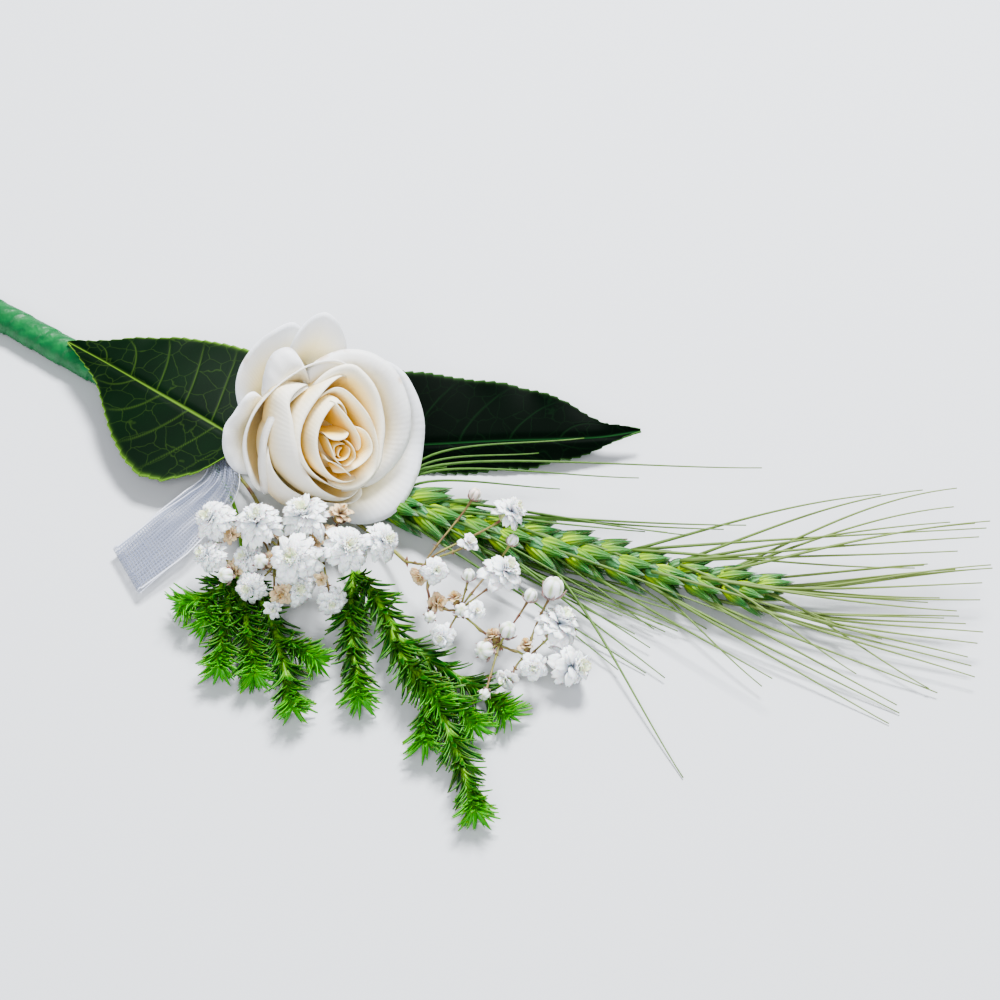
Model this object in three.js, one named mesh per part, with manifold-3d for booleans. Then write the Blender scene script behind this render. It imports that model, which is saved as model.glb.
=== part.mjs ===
// Boutonniere lying on a table: a cream rose, two leaves, a wheat ear, gypsophila and
// needle-leaved greenery, with a ribbon loop, their stems wound together in green tape.
// Millimetres, +Z up, +X along the wheat ear. Points are written on the table plane, with x and y
// from the middle of the layout and z from the table, and the whole is centred at the end.

import * as THREE from 'three';
import { mergeVertices } from 'three/addons/utils/BufferGeometryUtils.js';
import Module from 'manifold-3d';

// Driving dimensions

const BLADE = 0.6;             // thickness of a leaf, sepal, petal or ribbon
const CLEAR = 0.3;             // gap kept between neighbours
const FINEST = 0.09;           // detail smaller than this is dropped where pieces are joined
const MOUTH = [-66, 19.5, 5];  // where the tape ends and the stems spread
const STEM_END = [-133.5, 66.6, 3.1];
const TAPE_LINE = [[-131.5, 65.2, 3.1], [-115.8, 54.6, 3.2], [-97.1, 41, 3.5], [-78.8, 27.9, 4.2], MOUTH];
const TAPE_OUTER = [3.3, 3.7];  // outer radius at the lower end and at the mouth
const TAPE_INNER = [2.7, 3.0];
const RING = 2;                // the other stems lie round the rose stem at this radius
const ROSE_BASE = [-44, 11.2, 9.5];
const ROSE_AXIS = [0.35, -0.66, 0.66];
const ROSE_STEM = 1.2;
const THIN_STEM = 0.45;
const FINE_STEM = 0.32;
const WHEAT_STALK = 0.5;
const AWN_LENGTH = 52;
const NEEDLE_LENGTH = 6;
const NEEDLE_SPACING = 1.45;

// Angles of the stems round the rose stem at the mouth: 0 towards the ribbon, 90 up

const AT = {
  ribbon: 72, spriga: 14, gypa: 339, sprigb: 304, gypb: 269, wheat: 232, leafr: 192, leafl: 130,
};

const COLOURS = {
  tape: [0x2f8f57, 0.6], rose: [0xf6efe0, 0.55], stem: [0x5f8a3a, 0.6], leaf_left: [0x12381f, 0.4],
  leaf_right: [0x0f2d19, 0.4], wheat: [0x86a855, 0.6], sprig: [0x2f8f1f, 0.6], ribbon: [0xc9cdd6, 0.4],
  gypstem: [0x9a8462, 0.7], gyp: [0xf4f5f6, 0.8], dried: [0xcbb18c, 0.8],
};

// Petals from the outside in: middle angle, half angle, rim radius, height, belly, lip, lean.
// Angle 0 is the viewer's right and 90 the top; belly is the bulge against the rim; lip is how
// far the rim curls out; lean is how much of the eye's offset the petal follows.

const EYE_LEAN = [2.6, -3.7];
const PETALS = [
  [100, 32, 25.4, 18, 0.80, 1, 0], [134, 36, 24.2, 19, 0.82, 1, 0], [176, 31, 20.4, 16, 0.86, 1.6, 0],
  [224, 42, 18, 20, 0.88, 0.8, 0], [-10, 84, 19.9, 22, 0.86, 2, 0.1], [287, 46, 16.6, 21, 0.9, 0.9, 0.1],
  [122, 21, 20.6, 24, 0.86, 2, 0.1], [28, 86, 17.4, 25, 0.95, 1.9, 0.2], [176, 54, 18.2, 24, 0.94, 1, 0.2],
  [252, 50, 14.8, 25, 1.0, 0.8, 0.3], [62, 48, 14.4, 26, 1.0, 0.8, 0.5], [130, 46, 12.8, 26, 1.0, 0.6, 0.6],
  [196, 50, 12.2, 26, 1.02, 0.6, 0.6], [290, 56, 10.6, 26, 1.04, 0.5, 0.7],
];
const OUTER_PETALS = 9;            // the first rows reach down to the receptacle
const HEART = [[2.4, 0.1], [8.6, 1.1], [9.8, 3], [8.2, 8], [5.4, 14], [3.4, 19]];   // radius, height
const HIP = [[1.4, -5.2], [3, -3.8], [3.4, -2.2], [2.9, -1.1]];
const SEPALS = [18, 90, 162, 234, 306];
const SEPAL = [[2.2, -1.9, 0.5], [4.6, -1.7, 1.5], [7.6, -0.5, 1.5], [10.6, 1.4, 0.3]];   // and half width
const INNER_PETALS = 8;
const INNER_START = [9.4, 26.4];   // rim radius and height of the first inner petal
const INNER_END = [1.9, 27.5];
const GOLDEN = 137.5;

// Leaves: midrib points, then half widths from base to tip above and below the midrib

const LEAF_LEFT = {
  midrib: [[-55.1, 8, 9.4], [-68.6, 17.4, 10.4], [-78, 24.3, 10.6], [-87.7, 32.3, 9.8], [-98.2, 41.4, 8]],
  upper: [0.3, 12, 19.9, 21.3, 19.6, 17.5, 14.6, 10.9, 6.9, 2.8, 0.25],
  lower: [0.3, 11, 17, 18.6, 16.9, 13.8, 9.9, 6, 3.5, 1.8, 0.25],
  upperLift: 0.17, lowerLift: -0.24, curl: 0.006,
};
const LEAF_RIGHT = {
  midrib: [
    [-46.5, 13.5, 2.4], [-30, 13, 3.2], [-16, 13.2, 4], [0, 13.8, 4.6], [13.3, 13.8, 5.2], [22.2, 14.2, 5.4],
    [31.3, 15.9, 5.6],
  ],
  upper: [0.3, 9, 15, 18.2, 17.4, 15.6, 13.6, 11.6, 7.9, 2.6, 0.25],
  lower: [0.3, 3, 4.2, 4.8, 5.4, 5.8, 5.7, 5.2, 3.8, 1.7, 0.25],
  upperLift: 0.32, lowerLift: -1.1, curl: 0.004,
};
const LEAF_ROWS = 24;
const TOOTH = 0.55;
const MIDRIB = 0.6;            // how far the midrib stands out below at the leaf's foot
const PETIOLE = 0.5;
const LEAF_FLOOR = 0.12;       // the right leaf's lower half is pressed flat on the table here
const PETIOLE_RIGHT = [[-59.9, 19.7, 3.9], [-54, 17.6, 3.2], [-46.5, 13.5, 2.4], [-43, 13.3, 2.6]];
const PETIOLE_LEFT = [
  [-62.8, 17.4, 7.4], [-57.5, 14, 8], [-53.2, 9.6, 8], [-52.4, 6.6, 8.3], [-54.8, 6.8, 9.2],
  [-58.5, 10.3, 9.8],
];

// Wheat ear

const EAR = [
  [-26.2, -3.6, 4.4], [-20.7, -5.8, 4.8], [0, -14.1, 5], [21.4, -21.4, 5.2], [42.5, -27.7, 5.4],
  [56.1, -31.1, 5.4],
];
const STALK = [[-60.7, 18.5, 2.9], [-55.4, 15.4, 2.5], [-43.5, 7.5, 2.2], [-33, 1, 2.6]];
const SPIKELETS = 16;
const FLORET = { length: 10.8, wide: 1.7, thick: 1.25, out: 19 };
const AWN_TIPS = [
  [18.4, 7.4, 12], [8.5, 4.8, 10], [-11.6, 1.6, 9], [30, -4.4, 12], [12.9, -7.6, 12], [56.4, -4.2, 15],
  [52.3, -18.9, 13], [39.3, -20.8, 12], [30.9, -19, 11], [81.2, -12.7, 16], [97.3, -11.9, 17],
  [95.3, -19.8, 15], [103.8, -19.5, 15], [101.4, -22.2, 13], [90.4, -27.2, 10], [87.9, -26.6, 8],
  [103.5, -28.3, 11], [101.7, -27.7, 9], [100.8, -35.4, 8], [81.4, -32.9, 6], [95.8, -37.6, 7],
  [93.3, -37.9, 5], [100.9, -42.5, 6], [97.4, -47.6, 4], [98.5, -52.1, 3], [81.9, -58.3, 1.5],
  [80, -62.3, 0.3], [34.7, -40, 3], [40.2, -39.2, 2], [25.7, -36.5, 4], [34.3, -50.9, 1.2],
  [24.6, -49, 1.5], [37.1, -76.1, 0.3],
];
const AWN_RADIUS = [0.42, 0.24];   // at the floret and at the tip
const AWN_LIFTS = [0, 3, -3, 6, -6, 9];   // tried in turn, to pass clear of the other pieces

// Ribbon: middle of the loop from the tape to the fold, with its width there

const RIBBON = [
  [-64.6, 15.8, 7.4, 1.2], [-61.6, 9.5, 6.2, 5], [-60.9, 0.2, 5.2, 10.5], [-69.8, -12.1, 3.8, 13.4],
  [-79.5, -22, 2.6, 13.6],
];
const RIBBON_THICK = 0.5;
const RIBBON_GAP = 1.7;        // between the two layers, middle to middle
const FOLD_SKEW = 18;          // the fold runs this far off square, in degrees

// Gypsophila heads: centre, radius, kind (2 full, 1 half open, 0 bud), dried or not

const HEADS_A = [
  [-60.8, -20.7, 17, 4.1, 2], [-61.8, -26.5, 12, 3.3, 2], [-51, -23.5, 19.5, 4.6, 2],
  [-41.2, -21.8, 19.5, 4.9, 2], [-33.6, -19.6, 17.5, 2.7, 1, 1], [-31.8, -30.3, 19, 4.6, 2],
  [-24.4, -27.7, 18, 3.7, 2], [-53.4, -27.3, 12.2, 3.2, 2], [-52.6, -33.4, 9.6, 3.2, 2],
  [-42.9, -33.7, 19.5, 4.9, 2], [-42.4, -34.5, 10.8, 3.8, 2], [-57.6, -32, 12, 1.8, 0],
  [-49.9, -32.4, 17, 1.7, 0], [-37.6, -28.6, 14.6, 1.7, 0], [-42.2, -24.6, 12.6, 2.2, 1, 1],
  [-50.6, -17.6, 14.6, 1.7, 0, 1], [-35.2, -37.2, 9.4, 2.9, 2], [-47.4, -38.2, 8.6, 2.1, 1],
];

// Shape of a bud, a half open and a full head, in radii: reach, height, wave and shift of each ring

const HEAD_SHAPES = [
  { points: 5, foot: 0.9, crown: 1, rings: [[0.35, -0.9, 0, 0], [0.92, -0.3, 0, 0], [0.88, 0.35, 0, 0]] },
  {
    points: 6, foot: 0.85, crown: 0.55,
    rings: [[0.3, -0.85, 0, 0], [0.92, 0.1, 0.12, 0], [0.6, 0.24, 0, 0], [0.62, 0.8, 0.14, 1]],
  },
  {
    points: 8, foot: 0.8, crown: 0.6,
    rings: [
      [0.3, -0.8, 0, 0], [0.9, -0.1, 0.13, 0], [0.62, 0.04, 0, 0], [0.82, 0.42, 0.14, 1], [0.46, 0.46, 0, 0],
      [0.52, 0.84, 0.16, 0],
    ],
  },
];
const HUBS_A = [[-50, -17, 5.6], [-44.5, -20, 6.5], [-48, -25, 6], [-38, -23.5, 8]];
const ROUTE_A = [[-63.7, 14.1, 3.1], [-60.1, 8.5, 2.6], [-54.5, 0, 2.5], [-51, -9, 3]];
const HEADS_B = [
  [-5.3, -15.4, 19, 1.4, 0, 1], [2.5, -21.1, 20, 3.4, 2], [2.7, -24.8, 15, 1.3, 0], [-6.5, -28.3, 18, 2.2, 1],
  [-13.4, -33.2, 15, 2.7, 2], [-6.5, -33.3, 13.6, 1.4, 0], [1, -34.3, 16, 4, 2], [6.4, -37, 11.4, 1.5, 0],
  [-8.1, -39.4, 9.5, 1.6, 0], [-5, -42.3, 12.5, 2.3, 1], [1.6, -44.7, 9.4, 1.9, 0], [11, -38.3, 15.4, 2.4, 0],
  [12.3, -43.4, 10, 4.4, 2], [15.3, -51.7, 6, 4.4, 2], [7, -53.8, 8.4, 2.7, 2], [1.4, -53.6, 4.2, 2.5, 1],
  [-3.3, -49.4, 8.5, 2.1, 0], [-12, -46.2, 9, 2.6, 2], [-14.6, -40.5, 8.5, 1.4, 0],
  [-3.2, -59.2, 6.2, 1.3, 0],
];
const HUBS_B = [
  [-20, -24, 7], [-15.8, -27.5, 10], [-14.7, -36, 7], [-8.4, -37.6, 6.4], [0, -45.9, 5.6], [6.2, -48.3, 4.6],
];
const ROUTE_B = [[-61.6, 17.2, 2.3], [-56.8, 13.5, 2], [-45, 5.5, 1.9], [-32, -8, 2.4], [-24, -17, 4]];

// Greenery: each branchlet is a list of points; the first of each sprig starts at the mouth

const SPRIG_A = [
  [[-65, 12.2, 4], [-62, 5.9, 2.9], [-57.5, -6, 2.7], [-55.8, -16, 3], [-55.5, -24, 4]],
  [[-55.5, -23, 4], [-60.5, -32, 5], [-61.9, -42.4, 4.6]],
  [[-60.5, -31, 5], [-66, -34, 5.2], [-70.2, -36, 5]],
  [[-55.5, -24, 4], [-57.6, -38, 4.8], [-58.3, -54.4, 4.4]],
  [[-55.5, -24, 4], [-53, -40, 4.6], [-50, -56.4, 4.4]],
  [[-55.5, -23, 4], [-48.6, -36, 3.6], [-45, -50, 4.6], [-41.7, -64.4, 4]],
  [[-47, -42, 4], [-41, -47, 5], [-35.6, -51.4, 4.6]],
];
const SPRIG_B = [
  [[-62.6, 15.7, 2.5], [-58.4, 11.2, 2.1], [-48, 2.5, 2.1], [-38.5, -10, 2.6], [-31, -24, 5]],
  [[-31, -23, 5], [-31.4, -40, 5.4], [-28.3, -62.4, 4.4]],
  [[-31, -24, 5], [-24, -38, 6.6], [-20.2, -50.6, 7], [-12.4, -64.1, 6], [-8.1, -75, 4.8], [-4, -90.6, 4]],
  [[-20.8, -49, 7], [-15, -58, 8], [-10.4, -65.8, 8]], [[-19, -53, 6.6], [-9, -61, 5.2], [-3.4, -68.6, 4.8]],
  [[-22.4, -44, 6.8], [-8, -52, 1.9], [4.2, -65, 3.6]],
  [[-15, -60, 6.4], [-15.4, -67, 4.8], [-14.6, -73.8, 4]],
];

const wasm = await Module();
wasm.setup();
const { Manifold, Mesh } = wasm;

// Small helpers

const UP = new THREE.Vector3(0, 0, 1);
const vec = (p) => new THREE.Vector3(p[0], p[1], p[2]);
const rad = (deg) => deg * Math.PI / 180;
const lerp = (a, b, t) => a + (b - a) * t;

function draw(seed, i) {
  const wave = Math.sin(i * 12.9898 + seed * 78.233) * 43758.5453;
  return wave - Math.floor(wave);
}

function smoothLine(points, steps) {
  const line = new THREE.CatmullRomCurve3(points.map(vec), false, 'centripetal');
  return line.getSpacedPoints(steps);
}

function valueAt(list, t) {
  const place = Math.min(Math.max(t, 0), 1) * (list.length - 1);
  const low = Math.min(Math.floor(place), list.length - 2);
  return lerp(list[low], list[low + 1], place - low);
}

// Frames along a line that turn as little as they can

function framesAlong(points, firstUp = new THREE.Vector3(0, 0, 1)) {
  let up = firstUp.clone();
  return points.map((point, i) => {
    const before = points[Math.max(i - 1, 0)];
    const after = points[Math.min(i + 1, points.length - 1)];
    const along = after.clone().sub(before).normalize();
    up.addScaledVector(along, -up.dot(along));
    if (up.lengthSq() < 1e-6) up = new THREE.Vector3(0, 1, 0).addScaledVector(along, -along.y);
    up.normalize();
    return { point, along, up: up.clone(), side: along.clone().cross(up) };
  });
}

// A closed skin over rings of points, with a flat or pointed end at each side

function skin(rings, startPoint, endPoint) {
  const count = rings[0].length;
  const middle = (ring) => ring.reduce((sum, p) => sum.add(p), new THREE.Vector3()).divideScalar(count);
  const points = [startPoint ?? middle(rings[0]), ...rings.flat(), endPoint ?? middle(rings.at(-1))];
  const faces = [];
  for (let k = 0; k < count; k++) {
    const next = (k + 1) % count;
    faces.push(0, 1 + next, 1 + k);
    for (let r = 0; r < rings.length - 1; r++) {
      const low = 1 + r * count;
      const high = low + count;
      faces.push(low + k, low + next, high + next, low + k, high + next, high + k);
    }
    const last = 1 + (rings.length - 1) * count;
    faces.push(points.length - 1, last + k, last + next);
  }
  return solid(points, faces);
}

function solid(points, faces) {
  let volume = 0;
  for (let i = 0; i < faces.length; i += 3) {
    const [a, b, c] = [points[faces[i]], points[faces[i + 1]], points[faces[i + 2]]];
    volume += a.dot(b.clone().cross(c));
  }
  if (volume < 0) {
    for (let i = 0; i < faces.length; i += 3) [faces[i], faces[i + 1]] = [faces[i + 1], faces[i]];
  }
  const geometry = new THREE.BufferGeometry();
  const numbers = points.flatMap((p) => p.toArray());
  geometry.setAttribute('position', new THREE.Float32BufferAttribute(numbers, 3));
  geometry.setIndex(faces);
  return asManifold(geometry);
}

function asManifold(geometry) {
  geometry.deleteAttribute('normal');
  geometry.deleteAttribute('uv');
  const merged = mergeVertices(geometry, 1e-5);
  return new Manifold(new Mesh({
    numProp: 3,
    vertProperties: new Float32Array(merged.attributes.position.array),
    triVerts: new Uint32Array(merged.index.array),
  }));
}

// Tube with a radius for each point; three sides give an awn or a fine stalk

function tube(points, radii, sides) {
  const frames = framesAlong(points);
  const rings = frames.map(({ point, up, side }, i) => ringOf(point, up, side, radii[i], sides));
  return skin(rings);
}

function ringOf(point, up, side, radius, sides, flat = 1) {
  return Array.from({ length: sides }, (_, k) => {
    const turn = 2 * Math.PI * (k + 0.5) / sides;
    return point.clone()
      .addScaledVector(up, flat * radius * Math.cos(turn))
      .addScaledVector(side, radius * Math.sin(turn));
  });
}

function plainTube(points, radius, steps, sides = 6, endRadius = radius) {
  const line = smoothLine(points, steps);
  return tube(line, line.map((_, i) => lerp(radius, endRadius, i / steps)), sides);
}

// Blade from a grid of middle points: both faces are split into triangles alike

function blade(grid, thickness = BLADE, rib = 0) {
  const rows = grid.length;
  const cols = grid[0].length;
  const middle = (cols - 1) / 2;
  const normalAt = (i, j) => {
    const down = grid[Math.min(i + 1, rows - 1)][j].clone().sub(grid[Math.max(i - 1, 0)][j]);
    const across = grid[i][Math.min(j + 1, cols - 1)].clone().sub(grid[i][Math.max(j - 1, 0)]);
    return down.cross(across).normalize();
  };
  const faceOf = (offset) => grid.flatMap((row, i) => (
    row.map((p, j) => p.clone().addScaledVector(normalAt(i, j), offset))
  ));
  const points = [...faceOf(thickness / 2), ...faceOf(-thickness / 2)];
  if (rib) {
    for (let i = 0; i < rows; i++) points[rows * cols + i * cols + middle].z -= rib * (1 - i / rows);
  }
  const back = rows * cols;
  const faces = [];
  for (let i = 0; i < rows - 1; i++) {
    for (let j = 0; j < cols - 1; j++) {
      const [a, b, c, d] = [i * cols + j, i * cols + j + 1, (i + 1) * cols + j + 1, (i + 1) * cols + j];
      const split = (i + j) % 2 ? [[a, b, c], [a, c, d]] : [[a, b, d], [b, c, d]];
      for (const [p, q, r] of split) faces.push(p, q, r, back + p, back + r, back + q);
    }
  }
  const rim = [];
  const lastRow = (rows - 1) * cols;
  for (let j = 0; j < cols - 1; j++) rim.push([j + 1, j], [lastRow + j, lastRow + j + 1]);
  for (let i = 0; i < rows - 1; i++) {
    rim.push([i * cols, (i + 1) * cols], [(i + 2) * cols - 1, (i + 1) * cols - 1]);
  }
  for (const [p, q] of rim) faces.push(p, q, back + q, p, back + q, back + p);
  return solid(points, faces);
}

// One body: joined, cut level with the table, and without loose scraps

function join(list) {
  const pieces = Manifold.union(list).trimByPlane([0, 0, 1], 0).simplify(FINEST).decompose();
  return pieces.reduce((big, piece) => (piece.volume() > big.volume() ? piece : big));
}

const parts = [];

function addPart(name, body, look) {
  const { vertProperties, triVerts } = body.getMesh();
  const geometry = new THREE.BufferGeometry();
  geometry.setAttribute('position', new THREE.BufferAttribute(vertProperties, 3));
  geometry.setIndex(new THREE.BufferAttribute(triVerts, 1));
  const [color, roughness] = COLOURS[look];
  const mesh = new THREE.Mesh(geometry, new THREE.MeshStandardMaterial({ color, roughness, metalness: 0 }));
  mesh.name = name;
  parts.push({ mesh, body, box: body.boundingBox() });
}

function near(box, other, gap) {
  return [0, 1, 2].every((k) => box.min[k] - gap < other.max[k] && other.min[k] - gap < box.max[k]);
}

function isClear(body, others, gap = CLEAR) {
  const box = body.boundingBox();
  return others.every((other) => !near(box, other.box, gap) || body.minGap(other.body, 1) >= gap);
}

// Stems inside the tape: each runs beside the rose stem, at its own angle

const TAPE_STEPS = 16;
const tapeFrames = framesAlong(smoothLine(TAPE_LINE, TAPE_STEPS));

function insideTape(angle, from) {
  return tapeFrames.slice(from).map(({ point, up, side }) => point.clone()
    .addScaledVector(side, RING * Math.cos(rad(angle)))
    .addScaledVector(up, RING * Math.sin(rad(angle))));
}

function stemFrom(angle, from, points, radius, sides = 5, spacing = 5) {
  const inside = insideTape(angle, from).filter((_, i, all) => (all.length - 1 - i) % 4 === 0);
  const mouth = inside.pop();
  const straight = mouth.clone().addScaledVector(tapeFrames.at(-1).along, 1.5);
  const route = [mouth.toArray(), straight.toArray(), ...points];
  const reach = route.slice(1).reduce((sum, p, i) => sum + vec(p).distanceTo(vec(route[i])), 0);
  const line = [...inside, ...smoothLine(route, Math.round(reach / spacing))];
  return tube(line, line.map(() => radius), sides);
}

// Tape: a sleeve wound round the stems, open at both ends

function makeTape() {
  const sides = 12;
  const wrap = 0.12;   // how far each turn of tape stands above the last
  const ringAt = (i, sizes, ridge) => {
    const { point, up, side } = tapeFrames[i];
    return ringOf(point, up, side, lerp(...sizes, i / TAPE_STEPS) + ridge, sides);
  };
  const outer = tapeFrames.map((_, i) => ringAt(i, TAPE_OUTER, i % 2 ? wrap : -wrap));
  const inner = tapeFrames.flatMap((_, i) => (i % 4 === 0 ? [ringAt(i, TAPE_INNER, 0)] : []));
  const rings = [...outer, ...inner.reverse()];
  const points = rings.flat();
  const faces = [];
  for (let r = 0; r < rings.length; r++) {
    const low = r * sides;
    const high = ((r + 1) % rings.length) * sides;
    for (let k = 0; k < sides; k++) {
      const next = (k + 1) % sides;
      faces.push(low + k, low + next, high + next, low + k, high + next, high + k);
    }
  }
  addPart('stem_tape', solid(points, faces).trimByPlane([0, 0, 1], 0), 'tape');
}

// Rose

const roseZ = vec(ROSE_AXIS).normalize();
const roseX = new THREE.Vector3(1, 0, 0).addScaledVector(roseZ, -roseZ.x).normalize();
const roseY = roseZ.clone().cross(roseX);

function onRose(x, y, z) {
  return vec(ROSE_BASE).addScaledVector(roseX, x).addScaledVector(roseY, y).addScaledVector(roseZ, z);
}

function petalPoint([angle, half, rim, height, belly, lip, lean], across, up) {
  const length = up * (1 - 0.3 * Math.abs(across) ** 2.4);
  const b = 1 - length;
  const foot = 6 * (1 - rim / 25);
  const cubic = (from, near, far, to) => (
    b ** 3 * from + 3 * b ** 2 * length * near + 3 * b * length ** 2 * far + length ** 3 * to
  );
  const out = cubic(2, 0.45 * rim, belly * rim, rim);
  const rise = cubic(foot + 0.4, foot + 0.05 * height, 0.4 * height, height);
  const curl = Math.max(0, (length - 0.7) / 0.3) ** 2 * lip;
  const spread = half * (0.6 + 0.4 * Math.min(1, up / 0.45));
  const turn = rad(angle + spread * across);
  const radius = out + curl + across * 0.35;
  const [x, y] = [radius * Math.cos(turn), radius * Math.sin(turn)];
  return onRose(x + EYE_LEAN[0] * lean * length, y + EYE_LEAN[1] * lean * length, rise - 0.7 * curl);
}

function allPetals() {
  const inner = Array.from({ length: INNER_PETALS }, (_, i) => {
    const t = i / (INNER_PETALS - 1);
    const rim = lerp(INNER_START[0], INNER_END[0], t);
    const height = lerp(INNER_START[1], INNER_END[1], t);
    return [60 + GOLDEN * i, lerp(62, 80, t), rim, height, lerp(1.05, 1.35, t), 0.2, lerp(0.75, 1, t)];
  });
  return [...PETALS, ...inner];
}

function makeRose() {
  const petals = allPetals().map((petal, i) => {
    const columns = petal[1] > 82 ? 6 : 4;
    const levels = i < OUTER_PETALS ? [0.25, 0.5, 0.72, 0.87, 1] : [0.36, 0.62, 0.84, 1];
    const used = i < PETALS.length ? levels : levels.slice(1);
    const across = Array.from({ length: columns + 1 }, (_, j) => (2 * j) / columns - 1);
    return blade(used.map((up) => across.map((place) => petalPoint(petal, place, up))));
  });
  const heart = HEART.map(([r, h]) => roseRing(r, h, h / 27));
  const tip = onRose(0.8 * EYE_LEAN[0], 0.8 * EYE_LEAN[1], 21);
  addPart('rose_petals', join([...petals, skin(heart, onRose(0, 0, 0), tip)]), 'rose');
}

// Ring of points round the rose's axis, moved towards the eye by a share of its lean

function roseRing(radius, height, lean = 0, sides = 8) {
  return Array.from({ length: sides }, (_, k) => {
    const turn = 2 * Math.PI * k / sides;
    const [x, y] = [radius * Math.cos(turn), radius * Math.sin(turn)];
    return onRose(x + EYE_LEAN[0] * lean, y + EYE_LEAN[1] * lean, height);
  });
}

function makeRoseStem() {
  const spread = [[-58.5, 15.2, 5.7], [-50.5, 13.8, 6.4], onRose(0, 0, -3).toArray()];
  const stem = plainTube([STEM_END, ...TAPE_LINE, ...spread], ROSE_STEM, 22, 7);
  const hip = HIP.map(([r, h]) => roseRing(r, h));
  const sepals = SEPALS.map((angle) => {
    const [dx, dy] = [Math.cos(rad(angle)), Math.sin(rad(angle))];
    return blade(SEPAL.map(([r, h, w]) => [-1, 0, 1].map((side) => (
      onRose(r * dx - side * w * dy, r * dy + side * w * dx, h - 0.2 * Math.abs(side))
    ))));
  });
  addPart('rose_stem', join([stem, skin(hip), ...sepals]), 'stem');
}

// Leaves

function leafGrid(leaf, rows) {
  const line = smoothLine(leaf.midrib, rows);
  const cuts = [-1, -0.5, 0, 0.5, 1];
  return framesAlong(line).map(({ point, along }, i) => {
    const t = i / rows;
    const side = new THREE.Vector3(-along.y, along.x, 0).normalize();
    if (along.x < 0) side.negate();
    const tooth = i % 2 ? TOOTH : 0;
    return cuts.map((cut) => {
      const edge = Math.abs(cut) === 1 ? tooth : 0;
      const width = valueAt(cut > 0 ? leaf.upper : leaf.lower, t) * Math.abs(cut) + edge;
      const lift = cut > 0 ? leaf.upperLift * width - leaf.curl * width ** 2 : leaf.lowerLift * width;
      return point.clone().addScaledVector(side, Math.sign(cut) * width).add(new THREE.Vector3(0, 0, lift));
    });
  });
}

function makeLeaf(name, leaf, petiole, floor) {
  const grid = leafGrid(leaf, LEAF_ROWS);
  for (const p of grid.flat()) p.z = Math.max(p.z, floor);
  addPart(name, join([blade(grid, BLADE, MIDRIB), petiole]), name);
}

// Wheat

const earFrames = framesAlong(smoothLine(EAR, SPIKELETS));

function floretList() {
  const list = [];
  for (let i = 0; i < SPIKELETS; i++) {
    const { point, along, up, side } = earFrames[i];
    const grown = Math.min(1, 0.72 + 0.12 * i) * (i > SPIKELETS - 4 ? 0.86 : 1);
    const spread = i >= SPIKELETS - 1 ? [-40, 80, 200] : [-60, 0, 60];
    for (const [k, lean] of spread.entries()) {
      const turn = rad(lean + (i % 2 ? 180 : 0) + 6 * (draw(3, i * 3 + k) - 0.5));
      const flip = i % 2 ? -1 : 1;
      const outward = side.clone().multiplyScalar(Math.cos(turn)).addScaledVector(up, flip * Math.sin(turn));
      const tilt = rad(FLORET.out * (k === 1 ? 1.25 : 0.95));
      const head = along.clone().multiplyScalar(Math.cos(tilt)).addScaledVector(outward, Math.sin(tilt));
      list.push({ base: point.clone().addScaledVector(outward, 0.7), head, outward, size: grown });
    }
  }
  return list;
}

function floretBody({ base, head, outward, size }) {
  const wing = head.clone().cross(outward).normalize();
  const back = wing.clone().cross(head).normalize();
  const profile = [[0, 0.35, 0], [0.38, 1, 0.3], [0.74, 0.74, 0.3]];
  const rings = profile.map(([t, fat, bow]) => {
    const middle = base.clone().addScaledVector(head, t * FLORET.length * size).addScaledVector(back, bow);
    return ringOf(middle, back, wing, FLORET.wide * size * fat, 4, FLORET.thick / FLORET.wide);
  });
  return skin(rings, undefined, base.clone().addScaledVector(head, FLORET.length * size));
}

// An awn leaves along its floret and soon turns towards its own tip

function awnLine({ base, head, size }, tip, lift) {
  const start = base.clone().addScaledVector(head, FLORET.length * size * 0.8);
  const end = vec(tip);
  const chord = end.clone().sub(start);
  const bend = start.clone().addScaledVector(head, 0.14 * chord.length()).addScaledVector(chord, 0.24);
  bend.z += lift;
  const line = new THREE.QuadraticBezierCurve3(start, bend, end).getPoints(3);
  for (const p of line) p.z = Math.max(p.z, AWN_RADIUS[0] + 0.03);
  return line;
}

function makeWheat(others) {
  const florets = floretList();
  const stalk = stemFrom(AT.wheat, 0, [...STALK, EAR[0], EAR[1]], WHEAT_STALK, 5);
  const rachis = plainTube(EAR, 0.9, 6, 4, 0.7);
  const bodies = florets.map(floretBody).filter((body) => isClear(body, others));
  const taken = new Set();
  const awns = [];
  for (const tip of AWN_TIPS) {
    const target = vec(tip);
    const best = florets.map((floret, i) => {
      const chord = target.clone().sub(floret.base);
      const turn = chord.clone().normalize().angleTo(floret.head);
      const cost = Math.abs(chord.length() - AWN_LENGTH - 8) + 70 * turn + (taken.has(i) ? 500 : 0);
      return { i, cost };
    }).sort((a, b) => a.cost - b.cost)[0].i;
    for (const lift of AWN_LIFTS) {
      const line = awnLine(florets[best], tip, lift);
      const body = tube(line, line.map((_, k) => lerp(...AWN_RADIUS, k / (line.length - 1))), 3);
      if (isClear(body, others)) {
        taken.add(best);
        awns.push(body);
        break;
      }
    }
  }
  addPart('wheat_ear', join([stalk, rachis, ...bodies, ...awns]), 'wheat');
}

// Gypsophila

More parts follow.
